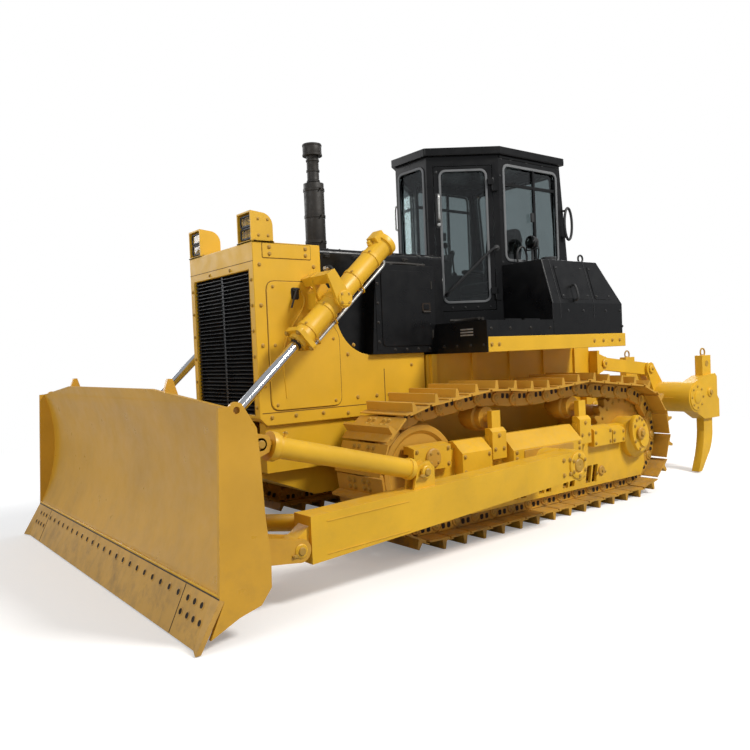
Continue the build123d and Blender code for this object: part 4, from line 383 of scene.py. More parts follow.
def inset(outline, depth):
    """Outline moved in by a depth."""
    count = len(outline)
    area = sum(outline[i - 1][0] * outline[i][1] - outline[i][0] * outline[i - 1][1] for i in range(count))
    turn = 1 if area > 0 else -1
    moved = []
    for i in range(count):
        a, b, c = (Vector(outline[(i + k) % count]) for k in (-1, 0, 1))
        first = (b - a).normalized()
        second = (c - b).normalized()
        first_in = Vector((-first.y, first.x)) * turn
        normal = first_in + Vector((-second.y, second.x)) * turn
        if normal.length < 1e-6:
            normal = first_in
        normal = normal.normalized()
        lean = max(0.35, normal.dot(first_in))
        moved.append(tuple(b + normal * depth / lean))
    return moved


def around(middle, u, v, radius, count, start=0.0):
    """Places spread round a circle in the plane of u and v."""
    angles = (start + 2 * pi * k / count for k in range(count))
    return [middle + (u * cos(a) + v * sin(a)) * radius / 1000 for a in angles]


class Face:
    """Plane on the machine: a place on it in metres, its two directions, and the direction out of it."""

    def __init__(self, origin, u, v, n):
        self.origin = origin
        self.axes = u.normalized(), v.normalized(), n.normalized()

    def at(self, a, b, lift=0.0):
        u, v, n = self.axes
        return self.origin + (u * a + v * b + n * lift) / 1000

    def lay(self, outline, lift):
        return [self.at(a, b, lift) for a, b in outline]


class Part:
    """One mesh object gathered from many small forms."""

    def __init__(self, name, kind, body="chassis"):
        self.name, self.kind, self.body = name, kind, body
        self.bm = bmesh.new()

    def skin(self, rings, loop=False):
        """Faces between rings of points, closed into a loop or capped at both ends."""
        made = [[self.bm.verts.new(point) for point in ring] for ring in rings]
        for low, high in list(zip(made, made[1:])) + ([(made[-1], made[0])] if loop else []):
            for i in range(len(low)):
                j = (i + 1) % len(low)
                self.bm.faces.new((low[i], low[j], high[j], high[i]))
        if not loop:
            self.bm.faces.new(made[0][::-1])
            self.bm.faces.new(made[-1])

    def plate(self, face, outline, thick, edge=0.0):
        """Plate on a face, its outer edge eased."""
        rings = [face.lay(outline, 0), face.lay(outline, thick - edge)]
        if edge:
            rings.append(face.lay(inset(outline, edge), thick))
        self.skin(rings)

    def frame(self, face, outline, depth, thick, edge=3.0):
        """Band on a face that follows an outline, this deep inwards."""
        flat = thick - edge
        steps = ((0, 0), (0, flat), (edge, thick), (depth - edge, thick), (depth, flat), (depth, 0))
        rings = [face.lay(inset(outline, step) if step else outline, lift) for step, lift in steps]
        self.skin(rings, loop=True)

    def side(self, y, hand, outline, thick, edge=0.0):
        self.plate(Face(at(0, y * hand, 0), X, Z, Y * hand), outline, thick, edge)

    def front(self, x, outline, thick, edge=0.0):
        self.plate(Face(at(x, 0, 0), Y, Z, X), outline, thick, edge)

    def top(self, z, outline, thick, edge=0.0):
        self.plate(Face(at(0, 0, z), X, Y, Z), outline, thick, edge)

    def block(self, low, high, edge=4.0):
        """Box between two corners, its top edges eased."""
        self.top(low[2], rect(low[0], low[1], high[0], high[1]), high[2] - low[2], edge)

    def lathe(self, place, axis, profile, count=20, turn=0.0, loop=False):
        """Form turned from a profile of radius and height pairs."""
        axis = axis.normalized()
        u = axis.orthogonal().normalized()
        v = axis.cross(u)
        rings = [around(place + axis * lift / 1000, u, v, radius, count, turn) for radius, lift in profile]
        self.skin(rings, loop)

    def band(self, place, axis, inner, outer, half, ease=3.0, count=32):
        """Ring round a bar or tube."""
        flat = half - ease
        self.lathe(place, axis, ((inner, -half), (outer - ease, -half), (outer, -flat), (outer, flat),
                                 (outer - ease, half), (inner, half)), count, loop=True)

    def bolt(self, place, n, size=11.0):
        """Hexagon head on its washer. The head's turn differs from place to place."""
        turn = place.x * 9 + place.z * 7
        self.lathe(place, n, ((size * 1.5, -1), (size * 1.5, size * 0.2), (size * 1.35, size * 0.3)), 12)
        self.lathe(place, n, ((size, 0), (size, size * 0.85), (size * 0.82, size * 1.05)), 6, turn)

    def bolts(self, places, n, size=11.0):
        for place in places:
            self.bolt(place, n, size)

    def tube(self, points, radius, count=10, steps=6, closed=False):
        """Round bar or hose whose middle line passes smoothly through the points."""
        path = []
        total = len(points)
        for i in range(total if closed else total - 1):
            near = [(i + k) % total if closed else max(0, min(total - 1, i + k)) for k in (-1, 0, 1, 2)]
            a, b, c, d = (points[k] for k in near)
            for step in range(steps):
                t = step / steps
                path.append(0.5 * (2 * b + (c - a) * t + (2 * a - 5 * b + 4 * c - d) * t * t
                                   + (3 * b - a - 3 * c + d) * t ** 3))
        if not closed:
            path.append(points[-1])
        rings = []
        side = None
        for i, point in enumerate(path):
            ahead = path[(i + 1) % len(path)] if closed or i + 1 < len(path) else point
            behind = path[i - 1] if closed or i else point
            along = (ahead - behind).normalized()
            side = along.orthogonal() if side is None else side - along * side.dot(along)
            side.normalize()
            rings.append(around(point, side, along.cross(side), radius, count))
        self.skin(rings, closed)

    def bar(self, points, radius, count=8):
        """Straight runs with sharp bends."""
        self.tube(points, radius, count, 1)

    def bead(self, start, end, radius=5.0, pitch=14.0):
        """Weld bead: overlapping ripples along a straight joint."""
        run = end - start
        ripples = max(4, int(run.length * 1000 / pitch)) * 2
        along = run.normalized()
        u = along.orthogonal().normalized()
        v = along.cross(u)
        rings = []
        for i in range(ripples + 1):
            share = 0.3 if i in (0, ripples) else 1.0 if i % 2 else 0.78
            rings.append(around(start + run * i / ripples, u, v, radius * share, 6))
        self.skin(rings)

    def done(self, sharp=35):
        bmesh.ops.recalc_face_normals(self.bm, faces=self.bm.faces)
        mesh = bpy.data.meshes.new(self.name)
        self.bm.to_mesh(mesh)
        self.bm.free()
        material, slot = MATERIALS[self.kind]
        mesh.materials.append(material)
        mesh.shade_smooth()
        mesh.set_sharp_from_angle(angle=radians(sharp))
        obj = place_object(self.name, mesh)
        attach(obj, self.body)
        return obj


def finish(*parts):
    for part in parts:
        part.done()


# === Tracks: link plates, pins and shoe bolts on the chain's own path ===
TRACK_Y, SHOES, PITCH = 1000.0, 38, 216.0
PIN_Z = 149.0                # of the lower run
LINK_RISE = 67.0             # from a wheel's tread to the pins
IDLER_TREAD, CARRIER_TREAD_Z = 359.0, 1045.0
CARRIERS_X = (850.0, 1990.0)
AXLE_Z = 583.0
SPROCKET, SPROCKET_R = (0.0, AXLE_Z), 434.0
IDLER_R = hypot(IDLER_TREAD + LINK_RISE, PITCH / 2)
IDLER = (2730.0, PIN_Z + IDLER_R)
REST_Z = CARRIER_TREAD_Z + LINK_RISE
SAG = 46.0
LINK_FACE = 110.0            # from the track's middle to a link's outer face


def touch_angle(centre, radius, point, turn):
    """Angle at which a line from the point touches the circle."""
    dx, dz = point[0] - centre[0], point[1] - centre[1]
    return atan2(dz, dx) + turn * (pi / 2 - asin(radius / hypot(dx, dz)))


def arc(centre, radius, start, end, count=120):
    angles = (start + (end - start) * k / count for k in range(count + 1))
    return [(centre[0] + radius * cos(a), centre[1] + radius * sin(a)) for a in angles]


def chain_frames():
    """Middle and direction of each link along the pins' path, and half a link's run."""
    leave = touch_angle(IDLER, IDLER_R, (CARRIERS_X[1], REST_Z), -1)
    meet = touch_angle(SPROCKET, SPROCKET_R, (CARRIERS_X[0], REST_Z), 1)
    half_span = (CARRIERS_X[1] - CARRIERS_X[0]) / 2
    bow = (half_span ** 2 + SAG ** 2) / (2 * SAG)
    half = asin(half_span / bow)
    path = [(0.0, PIN_Z)] + arc(IDLER, IDLER_R, -pi / 2, leave)
    path += arc((sum(CARRIERS_X) / 2, REST_Z - SAG + bow), bow, -pi / 2 + half, -pi / 2 - half, 60)
    path += arc(SPROCKET, SPROCKET_R, meet, pi * 1.5)
    path.append((0.0, PIN_Z))
    reach = [0.0]
    for a, b in zip(path, path[1:]):
        reach.append(reach[-1] + dist(a, b))
    pins = []
    step = reach[-1] / SHOES
    span = 0
    for number in range(SHOES):
        goal = number * step
        while reach[span + 1] < goal:
            span += 1
        share = (goal - reach[span]) / (reach[span + 1] - reach[span])
        pins.append(tuple(p + (q - p) * share for p, q in zip(path[span], path[span + 1])))
    frames = []
    for number, start in enumerate(pins):
        end = pins[(number + 1) % SHOES]
        middle = ((start[0] + end[0]) / 2, (start[1] + end[1]) / 2)
        frames.append((middle, atan2(end[1] - start[1], end[0] - start[0])))
    return frames, step / 2


LINKS, HALF = chain_frames()
LINK_OUTLINE = soften((
    (-HALF + 34, 44), (-70, 64), (70, 64), (HALF - 34, 50), (HALF - 56, 22), (HALF - 56, -22),
    (HALF - 30, -50), (HALF - 6, -60), (-HALF + 12, -60), (-HALF - 14, -42), (-HALF - 22, 0), (-HALF - 8, 40),
), 14)
for side, hand, out, here in SIDES:
    links = Part("link_plates_" + side, "track")
    pins = Part("track_pins_" + side, "bolt")
    windows = Part("link_window_shade_" + side, "hollow_shade")
    bolts = Part("shoe_bolts_" + side, "bolt")
    for (middle_x, middle_z), turn in LINKS:
        along = X * cos(turn) + Z * sin(turn)
        inward = Z * cos(turn) - X * sin(turn)
        for face in (1, -1):
            n = out * face
            cheek = Face(here(middle_x, TRACK_Y + face * LINK_FACE, middle_z), along, inward, n)
            links.plate(cheek, LINK_OUTLINE, 9, 3)
            boss = cheek.at(-HALF, 0)
            links.lathe(boss, n, ((46, 0), (46, 13), (42, 17)), 20)
            pins.lathe(boss, n, ((26, 10), (26, 20), (21, 23), (10, 23), (7, 20)), 14)
            # dark plates in the links' windows: painted shade
            for place in (-24, 34):
                windows.plate(cheek, rounded(place, -20, 36, 44, 12, 3), 9.6)
        for across in (-118, -58, 58, 118):
            shoe = Face(here(middle_x, TRACK_Y + across, middle_z), along, out, -inward)
            bolts.bolts([shoe.at(place, 0, 77) for place in (12, 66)], -inward, 15)
    finish(links, pins, windows, bolts)

# === Sprockets, final drives and track frames ===
HUB = (60.0, 628.0)
FRAME_COVERS = (             # outer face of each cover, and its bolts
    (1242, ((2550, 640), (2870, 640), (2550, 760), (2870, 760))),
    (1272, ((2130, 550), (2400, 550), (2130, 670), (2400, 670))),
    (1296, ((1000, 590), (1000, 640), (1830, 590), (1830, 640), (1415, 590))),
    (1238, ((450, 590), (450, 690), (674, 590), (674, 690), (240, 590), (386, 590), (240, 664), (386, 664))),
)
ROLLERS, FIRST_ROLLER_X, ROLLER_PITCH, ROLLER_Z = 6, 525, 330, 314
gear = Part("undercarriage_bolts", "bolt")
caps = Part("undercarriage_caps", "track")
for side, hand, out, here in SIDES:
    gear.bolts(around(here(0, 1038, AXLE_Z), X, Z, 345, 20), out, 13)
    gear.bolts(around(here(-2, 962, AXLE_Z), X, Z, 365, 20), -out, 11)
    for angle in map(radians, (30, 60, 90, 120, 150, 210, 270, 330)):
        gear.bolt(here(HUB[0] + 88 * cos(angle), 1300, HUB[1] + 150 * sin(angle)), out, 12)
    caps.lathe(here(HUB[0], 1314, HUB[1]), out, ((60, -2), (60, 10), (52, 16), (36, 16)), 24)
    gear.lathe(here(HUB[0], 1314, HUB[1]), out, ((30, 10), (30, 30), (25, 35)), 6)
    for face, places in FRAME_COVERS:
        gear.bolts([here(x, face, z) for x, z in places], out, 12)
    caps.lathe(here(2712, 1242, 700), out, ((74, -2), (74, 12), (64, 20), (30, 22)), 28)
    gear.bolts(around(here(2712, 1262, 700), X, Z, 50, 4, pi / 4), out, 9)
    caps.side(1296, hand, soften(rect(1090, 575, 1740, 652), 18), 8, 3)
    # caps on the track rollers' shafts
    for x in (FIRST_ROLLER_X + ROLLER_PITCH * k for k in range(ROLLERS)):
        caps.lathe(here(x, 1176, ROLLER_Z), out, ((46, -2), (46, 10), (38, 16)), 20)
        gear.bolt(here(x, 1190, ROLLER_Z), out, 12)
        gear.bolts([here(x + shift, 1176, 296) for shift in (-62, 62)], out, 10)
    for x in CARRIERS_X:
        gear.bolt(here(x, 1256, 800), out, 13)
        gear.bolts([here(x + shift, 1256, 690) for shift in (-50, 50)], out, 12)
finish(gear, caps)

# === Radiator guard: doors, covers and bolts ===
GUARD_DOOR = soften((
    (3690, 1110), (3690, 2080), (3322, 2080), (3248, 1930), (3150, 1780), (3052, 1680), (3052, 1110),
), 70, 4)
GUARD_DOOR_FACE = GUARD_SIDE + 9
TOP_COVER = (3290, 2255, 3710, 2362)
panels = Part("guard_covers", "yellow")
shadow = Part("cover_gap_shade", "seam_shade")
fixings = Part("guard_bolts", "bolt")
fittings = Part("guard_handles", "dark")
for side, hand, out, here in SIDES:
    # painted shade in the gap round the door
    shadow.side(GUARD_SIDE, hand, inset(GUARD_DOOR, -7), 1.2)
    panels.side(GUARD_SIDE, hand, GUARD_DOOR, GUARD_DOOR_FACE - GUARD_SIDE, 4)
    # painted shade in the gap round the top cover
    shadow.side(GUARD_SIDE, hand, soften(rect(3285, 2250, 3715, 2366), 12), 1.0)
    panels.side(GUARD_SIDE, hand, soften(rect(*TOP_COVER), 10), 5, 2)
    # stiffening crease down the door
    crease = ((3395, 564, 2010), (3375, 566, 1900), (3560, 566, 1600), (3560, 564, 1200))
    panels.tube([here(*place) for place in crease], 7, 8)
    # grip and its plate
    fittings.side(GUARD_DOOR_FACE, hand, rounded(3448, 1990, 70, 92, 16), 4, 2)
    fittings.bar([here(x, y, 2022) for x, y in ((3425, 566), (3425, 590), (3472, 590), (3472, 566))], 7)
    fittings.bar([here(3449, 590, 2022), here(3500, 592, 1880)], 8)
    fixings.bolts([here(x, GUARD_SIDE + 5, z) for z in (2284, 2335) for x in (3653, 3336)], out)
    fixings.bolts([here(x, GUARD_SIDE, z) for x, z in (
        (3263, 2202), (3740, 2202), (3740, 1900), (3740, 1600), (3740, 1300), (3229, 1060), (3480, 1060),
        (3690, 1060), (2887, 1160), (2970, 1511), (2909, 1585), (2690, 1160), (2560, 1160), (2330, 1160),
        (2300, 1400), (2990, 1040),
    )], out)
    fixings.bolts([here(x, GUARD_DOOR_FACE, z) for x, z in (
        (3110, 1150), (3640, 1150), (3110, 1640), (3640, 2040), (3640, 1600),
    )], out, 9)
    # painted shade lines along the seams of the lower side plate
    shadow.side(GUARD_SIDE, hand, rect(2170, 1092, 3770, 1099), 1.2)
    shadow.side(GUARD_SIDE, hand, rect(2600, 1099, 2608, 1378), 1.2)
    # grille border, and a painted shade line down its edge
    fixings.bolts([here(GUARD_FRONT, 517, z) for z in (1140, 1330, 1520, 1710, 1900, 2090)], X, 10)
    fixings.bolt(here(GUARD_FRONT, 180, 2196), X, 10)
    shadow.front(GUARD_FRONT, rect(hand * 482, 1078, hand * 486, 2174), 1.2)
# painted shade line across the front
shadow.front(GUARD_FRONT, rect(-GUARD_SIDE, 2226, GUARD_SIDE, 2231), 1.0)
finish(panels, shadow, fixings, fittings)

# === Headlamps ===
LAMP_X, LAMP_Y, LAMP_Z = 3700, 440, 2486
bezel = Part("lamp_bezels", "plastic")
bracket = Part("lamp_brackets", "yellow")
screws = Part("lamp_bolts", "bolt")
for side, hand, out, here in SIDES:
    for row in (-46, 46):
        lens = Face(here(LAMP_X + 68, LAMP_Y, LAMP_Z + row), Y, Z, X)
        bezel.frame(lens, rounded(0, 0, 176, 90, 20), 15, 10)
        screws.bolts([lens.at(y, -34, 4) for y in (-79, 79)], X, 5)
        bracket.top(GUARD_TOP, rounded(LAMP_X, hand * LAMP_Y, 196, 250, 14), 7, 2)
    corners = [here(LAMP_X + x, LAMP_Y + y, GUARD_TOP + 7) for x in (-68.4, 68.4) for y in (-118, 118)]
    screws.bolts(corners, Z, 8)
    screws.bolts([here(x, 548, z) for z in (2420, 2540) for x in (3650, 3730)], out, 8)
finish(bezel, bracket, screws)

# === Cowls beside the engine ===
COWL_SIDE = 600.0
COWL_LATCH = (2153, 1889)
cowl = Part("cowl_panels", "black")
cowl_fittings = Part("cowl_fittings", "dark")
cowl_dishes = Part("cowl_latch_dish_shade", "hollow_shade")
for side, hand, out, here in SIDES:
    door = ((2090, 1560), (2640, 1560), (2640, 2170), (2600, 2196), (2090, 2196))
    cowl.side(COWL_SIDE, hand, soften(door, 40), 8, 3)
    cowl.side(COWL_SIDE, hand, rect(2660, 1530, 2700, 2190), 5, 2)
    cowl_fittings.bolts([here(2680, COWL_SIDE + 5, z) for z in (1600, 1760, 1920, 2080, 2170)], out, 9)
    cowl_fittings.bolts([here(x, COWL_SIDE, 1532) for x in (2120, 2250, 2380, 2510)], out, 9)
    # latch in its dish, the dish dark as painted shade, and the door's hinges
    cowl_dishes.side(COWL_SIDE + 8, hand, rounded(*COWL_LATCH, 96, 76, 14), 4, 1)
    cowl.side(COWL_SIDE + 12, hand, rounded(COWL_LATCH[0], COWL_LATCH[1] + 3, 62, 46, 8), 5, 2)
    cowl_fittings.bar([here(COWL_LATCH[0] + x, COWL_SIDE + 16, COWL_LATCH[1] - 41) for x in (-41, 41)], 7)
    for z in (1660, 2080):
        cowl_fittings.bar([here(2084, COWL_SIDE + 6, z - 34), here(2084, COWL_SIDE + 6, z + 34)], 9)
    # pipes along the top
    inner_pipe = ((2080, 520, 2262), (2300, 520, 2268), (2560, 516, 2268), (2700, 500, 2262))
    outer_pipe = ((2120, 556, 2256), (2360, 560, 2262), (2620, 556, 2258))
    for bends, radius in ((inner_pipe, 15), (outer_pipe, 10)):
        cowl_fittings.tube([here(*bend) for bend in bends], radius)
    near, far = sorted((hand * 500, hand * 572))
    for x in (2180, 2480):
        cowl_fittings.block((x, near, 2244), (x + 34, far, 2262), 3)
finish(cowl, cowl_fittings, cowl_dishes)

# === Hood and exhaust ===
STACK_X = 2861
hood = Part("hood_seams", "dark")
for x in (2400, 2960):
    hood.top(HOOD_TOP, rect(x, -420, x + 5, 420), 1.2)
hood.top(HOOD_TOP, rect(1850, -3, 3190, 3), 1.2)
for side, hand, out, here in SIDES:
    hood.bolts([here(x, 404, HOOD_TOP) for x in (1900, 2120, 2340, 2460, 2660, 2900, 3020, 3150)], Z, 8)
    hood.bolts([here(x, 250, HOOD_TOP) for x in (2240, 2560)], Z, 8)
    for x in (2260, 2800, 3080):
        hood.side(HOOD_SIDE, hand, rounded(x, 2310, 60, 34, 8), 4, 2)
        handle = ((-20, 4), (-20, 22), (20, 22), (20, 4))
        hood.bar([here(x + along, HOOD_SIDE + lift, 2310) for along, lift in handle], 5)
collar = ((132, 0), (132, 8), (124, 12), (96, 12), (96, 40), (92, 44), (88, 44))
hood.lathe(at(STACK_X, 0, HOOD_TOP), Z, collar, 32)
hood.bolts(around(at(STACK_X, 0, HOOD_TOP + 12), X, Y, 112, 6), Z, 8)
hood.done()

stack = Part("exhaust_bands", "dark")
for z in (2494, 2714, 2944):
    stack.band(at(STACK_X, 0, z), Z, 86, 93, 14)
    stack.bar([at(STACK_X, 92, z), at(STACK_X, 118, z)], 7)
for z in (3020, 3110, 3200):
    stack.band(at(STACK_X, 0, z), Z, 50, 58, 10)
stack.band(at(STACK_X, 0, 3247), Z, 80, 86, 10)
stack.lathe(at(STACK_X, 0, STACK_TOP - 18), Z, ((82, -2), (85, 2), (85, 12), (76, 17.5)), 32)
stack.done()

# === Cab: gaskets, trim, grab loops and roof ===
WALL_Y = 625.0
NOSE_X, NOSE_Y = 1740.0, 225.0           # front corner of the cab, where the doors end
DOOR_HINGE_X = 1190.0
WALL_TOP = 3325.0
GASKET_LAP = 24.0                        # that a gasket is larger than its opening
BACK_LEAN = Vector((140, 0, WALL_TOP - DECK_TOP))
gasket = Part("window_gaskets", "grey")
trim = Part("cab_trim", "black")
cab_fittings = Part("cab_fittings", "plastic")
for side, hand, out, here in SIDES:
    window = rounded(740, 2790, 776 + GASKET_LAP, 900 + GASKET_LAP, 70, 6)
    gasket.frame(Face(here(0, WALL_Y, 0), X, Z, out), window, 26, 9)
    # bars of the sliding window, and its catch
    trim.side(WALL_Y - 25, hand, rect(668, 2342, 700, 3238), 22, 3)
    trim.side(WALL_Y - 25, hand, rect(356, 3048, 1124, 3078), 20, 3)
    cab_fittings.side(WALL_Y - 3, hand, rounded(733, 2772, 40, 90, 10), 16, 3)
    # grab loop on the rear post
    loop = [here(226 + 58 * cos(a), 668, 2742 + 160 * sin(a)) for a in (pi * k / 6 for k in range(12))]
    cab_fittings.tube(loop, 13, 10, 4, closed=True)
    for z in (2610, 2874):
        cab_fittings.bar([here(262, WALL_Y, z), here(262, 668, z)], 11)
    # bolts under the roof's edge and up the door post, and the drip strip
    cab_fittings.bolts([here(x, WALL_Y, 3290) for x in (330, 560, 790, 1020, 1150)], out, 8)
    cab_fittings.bolts([here(1170, WALL_Y, z) for z in (2320, 3130)], out, 8)
    trim.side(WALL_Y, hand, rect(300, 3300, 1180, 3322), 10, 3)
windscreen = rounded(0, 2810, 2 * (NOSE_Y - 45) + GASKET_LAP, 860 + GASKET_LAP, 66, 6)
gasket.frame(Face(at(NOSE_X, 0, 0), Y, Z, X), windscreen, 24, 9)
for z in (1930, 2010, 2090, 2170, 2250):
    trim.front(NOSE_X, soften(rect(-130, z, 130, z + 18), 8), 4, 1.5)
back = Face(at(150, 0, DECK_TOP), Y, BACK_LEAN, Vector((-BACK_LEAN.z, 0, BACK_LEAN.x)))
window_rise = (2790 - DECK_TOP) * BACK_LEAN.length / BACK_LEAN.z
window = rounded(0, window_rise, 2 * (WALL_Y - 110) + GASKET_LAP, 900 + GASKET_LAP, 70, 6)
gasket.frame(back, window, 24, 9)
cab_fittings.bolts([back.at(y, 180) for y in (-420, 0, 420)], back.axes[2], 9)
finish(gasket, trim, cab_fittings)

roof = Part("roof_ribs", "black")
for y in (-420, -210, 0, 210, 420):
    rear, front = 340, 1180 + (560 - abs(y)) * 0.9
    roof.top(ROOF_TOP - 1, rounded((rear + front) / 2, y, front - rear, 54, 26), 9, 3)
roof.done()

# === Doors: places run along the door from its hinge, up from the ground, and out of its face ===
DOOR_RUN = hypot(NOSE_X - DOOR_HINGE_X, WALL_Y - NOSE_Y)
DOOR_END = DOOR_RUN - 66
DOOR_FOOT = 1878
for side, hand, out, here in SIDES:
    body = "door_" + side
    hinge = here(DOOR_HINGE_X, WALL_Y, 0)
    run = here(NOSE_X, NOSE_Y, 0) - hinge
    door = Face(hinge, run, Z, Vector((-run.y * hand, run.x * hand, 0)))
    n = door.axes[2]
    seal = Part("door_gasket_" + side, "grey", body)
    low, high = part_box("door_glass_" + side)
    middle = (low + high) / 2
    along, rise = (middle - hinge).dot(door.axes[0]) * 1000, middle.z * 1000
    width, height = (high - low).xy.length * 1000, (high.z - low.z) * 1000
    seal.frame(door, rounded(along, rise, width + 16, height + 22, 66, 6), 22, 9)
    seal.done()
    door_fittings = Part("door_fittings_" + side, "plastic", body)
    lock = Part("door_lock_" + side, "pale", body)
    # handle on its plate, with the lock below it
    grip = DOOR_END - 34
    door_fittings.plate(door, rounded(grip, 2820, 54, 330, 16), 8, 3)
    handle = ((2960, 6), (2950, 40), (2800, 44), (2740, 40), (2730, 6))
    lock.tube([door.at(grip, z, lift) for z, lift in handle], 10)
    lock.lathe(door.at(grip, 2690, 8), n, ((16, -2), (16, 6), (12, 9), (5, 9)), 16)
    lock.lathe(door.at(DOOR_END - 30, 2170), n, ((20, -2), (20, 8), (15, 12), (6, 12)), 16)
    door_fittings.bolts([door.at(DOOR_END - 24, z) for z in (1925, 1990, 3180)], n, 9)
    door_fittings.bolts([door.at(s, DOOR_FOOT + 28) for s in (120, 240, 360, 480)], n, 7)
    # grab bar across the glass
    bends = ((528, 2041, 0), (524, 2046, 52), (330, 2225, 58), (120, 2415, 58), (52, 2450, 54), (46, 2452, 0))
    door_fittings.tube([door.at(*bend) for bend in bends], 13)
    for s, z in ((528, 2041), (46, 2452)):
        door_fittings.lathe(door.at(s, z), n, ((30, -2), (30, 6), (22, 9)), 18)
    finish(door_fittings, lock)

# === Deck ===
deck = Part("deck_trim", "black")
vents = Part("deck_vents", "pale")
deck_bolts = Part("deck_bolts", "bolt")
tread = Part("deck_grip", "dark")
for side, hand, out, here in SIDES:
    for z in (1622, 1646, 1670):
        vents.front(DECK_FRONT, soften(rect(hand * 905, z, hand * 1055, z + 12), 4), 3, 1)
    deck_bolts.bolts([here(x, DECK_SIDE, 1543) for x in (210, 330, 470, 610, 1900, 1990)], out, 12)
    tread.bolts([here(x, DECK_SIDE, 1672) for x in (160, 1240, 1500, 1760, 1990)], out, 9)
    tread.bolts([here(DECK_FRONT, y, 1540) for y in (700, 860, 1020, 1170)], X, 10)
    # raised bars of the walkway, leaning one way and the other in turn; the first row starts further out
    for row in range(11):
        for k in range(7):
            x, y = 1250 + 70 * row, 690 + 70 * k + (35 if row % 2 else 0)
            if y < 1170 and (row > 0 or y > 900):
                lean = 14 if (row + k) % 2 else -14
                bar = ((-20, -lean - 4), (20, lean - 4), (20, lean + 4), (-20, -lean + 4))
                tread.top(DECK_TOP, [(x + along, hand * (y + across)) for along, across in bar], 3, 1)
    for x in (1460, 1700):
        deck.top(DECK_TOP, rounded(x, hand * (DECK_SIDE - 24), 200, 30, 8), 10, 3)
    # hoses at the walkway's front edge
    for y, z in ((760, 1762), (800, 1758)):
        bends = ((2020, 0), (1960, 60), (1960, 250), (2010, 340))
        tread.tube([here(x, y + across, z) for x, across in bends], 13)
finish(deck, vents, deck_bolts, tread)

# === Rear tanks: their sides stand upright to a knee and lean inwards above it ===
KNEE_Z = 1888
LEAN = Vector((0, -115, 402))
RISE = LEAN.length
tank = Part("tank_trim", "black")
tank_fittings = Part("tank_fittings", "plastic")
for side, hand, out, here in SIDES:
    rise, away = Vector((0, LEAN.y * hand, LEAN.z)), Vector((0, LEAN.z * hand, -LEAN.y))
    slope = Face(here(0, DECK_SIDE, KNEE_Z), X, rise, away)
    for x in (598, 1086):
        tank_fittings.plate(slope, rect(x, 6, x + 6, RISE - 14), 2)
        tank_fittings.side(DECK_SIDE, hand, rect(x, 1752, x + 6, 1882), 2)
    tank.plate(slope, soften(rect(640, 40, 1050, RISE - 50), 26), 5, 2)
    tank.plate(slope, soften(((300, 40), (565, 40), (565, RISE - 50), (400, RISE - 50)), 26), 5, 2)
    corners = [(x, b) for b in (70, RISE - 80) for x in (670, 1020, 535)] + [(340, 70)]
    tank_fittings.bolts([slope.at(x, b, 5) for x, b in corners], slope.axes[2], 8)
    tank_fittings.bolts([here(x, DECK_SIDE, 1820) for x in (190, 420, 760, 980)], out, 9)
    # grip on the leaning side
    grip = ((0, 30), (50, 35), (50, 155), (0, 160))
    tank_fittings.tube([slope.at(880, b, lift) for lift, b in grip], 11)
    # lifting eye, filler cap and covers on the top
    tank_fittings.tube(around(here(566, 1050, 2322), X, Z, 34, 10), 9, 8, 3, closed=True)
    cap = ((84, -2), (84, 16), (70, 20), (70, 52), (64, 58), (20, 58))
    tank_fittings.lathe(here(820, 880, TANK_TOP), Z, cap, 28)
    tank.top(TANK_TOP, rounded(1010, hand * 830, 260, 330, 24), 7, 3)
    tank_fittings.bolts([here(x, y, TANK_TOP + 7) for x in (900, 1120) for y in (690, 970)], Z, 8)
    tank.top(TANK_TOP, rounded(560, hand * 800, 230, 260, 24), 7, 3)
finish(tank, tank_fittings)

# === Work lamps on the tanks, beside the cab ===
for side, hand, out, here in SIDES:
    shell = Part("work_lamp_" + side, "plastic")
    lens = Part("work_lamp_glass_" + side, "lamp")
    lamp = here(852, 712, 2512)
    shell.lathe(lamp, X, ((30, -58), (52, -40), (62, -8), (64, 24), (58, 28), (56, 8)), 28)
    lens.lathe(lamp, X, ((55, 8), (55, 18), (40, 25), (18, 28)), 28)
    # post, fork and foot
    shell.bar([here(850, 712, 2450), here(850, 712, 2300)], 12)
    fork = ((646, 2512), (640, 2444), (712, 2440), (784, 2444), (778, 2512))
    shell.bar([here(850, y, z) for y, z in fork], 8)
    shell.top(TANK_TOP, rounded(850, hand * 712, 110, 90, 12), 10, 3)
    # its lead, and the rail beside it
    shell.tube([here(800, 712, 2500), here(740, 700, 2460), here(720, 676, 2380), here(730, 650, 2300)], 7, 8)
    rail = ((1000, 660, 2296), (1010, 664, 2420), (930, 668, 2470), (880, 668, 2380), (900, 664, 2296))
    shell.tube([here(*bend) for bend in rail], 10, 8)
    finish(shell, lens)

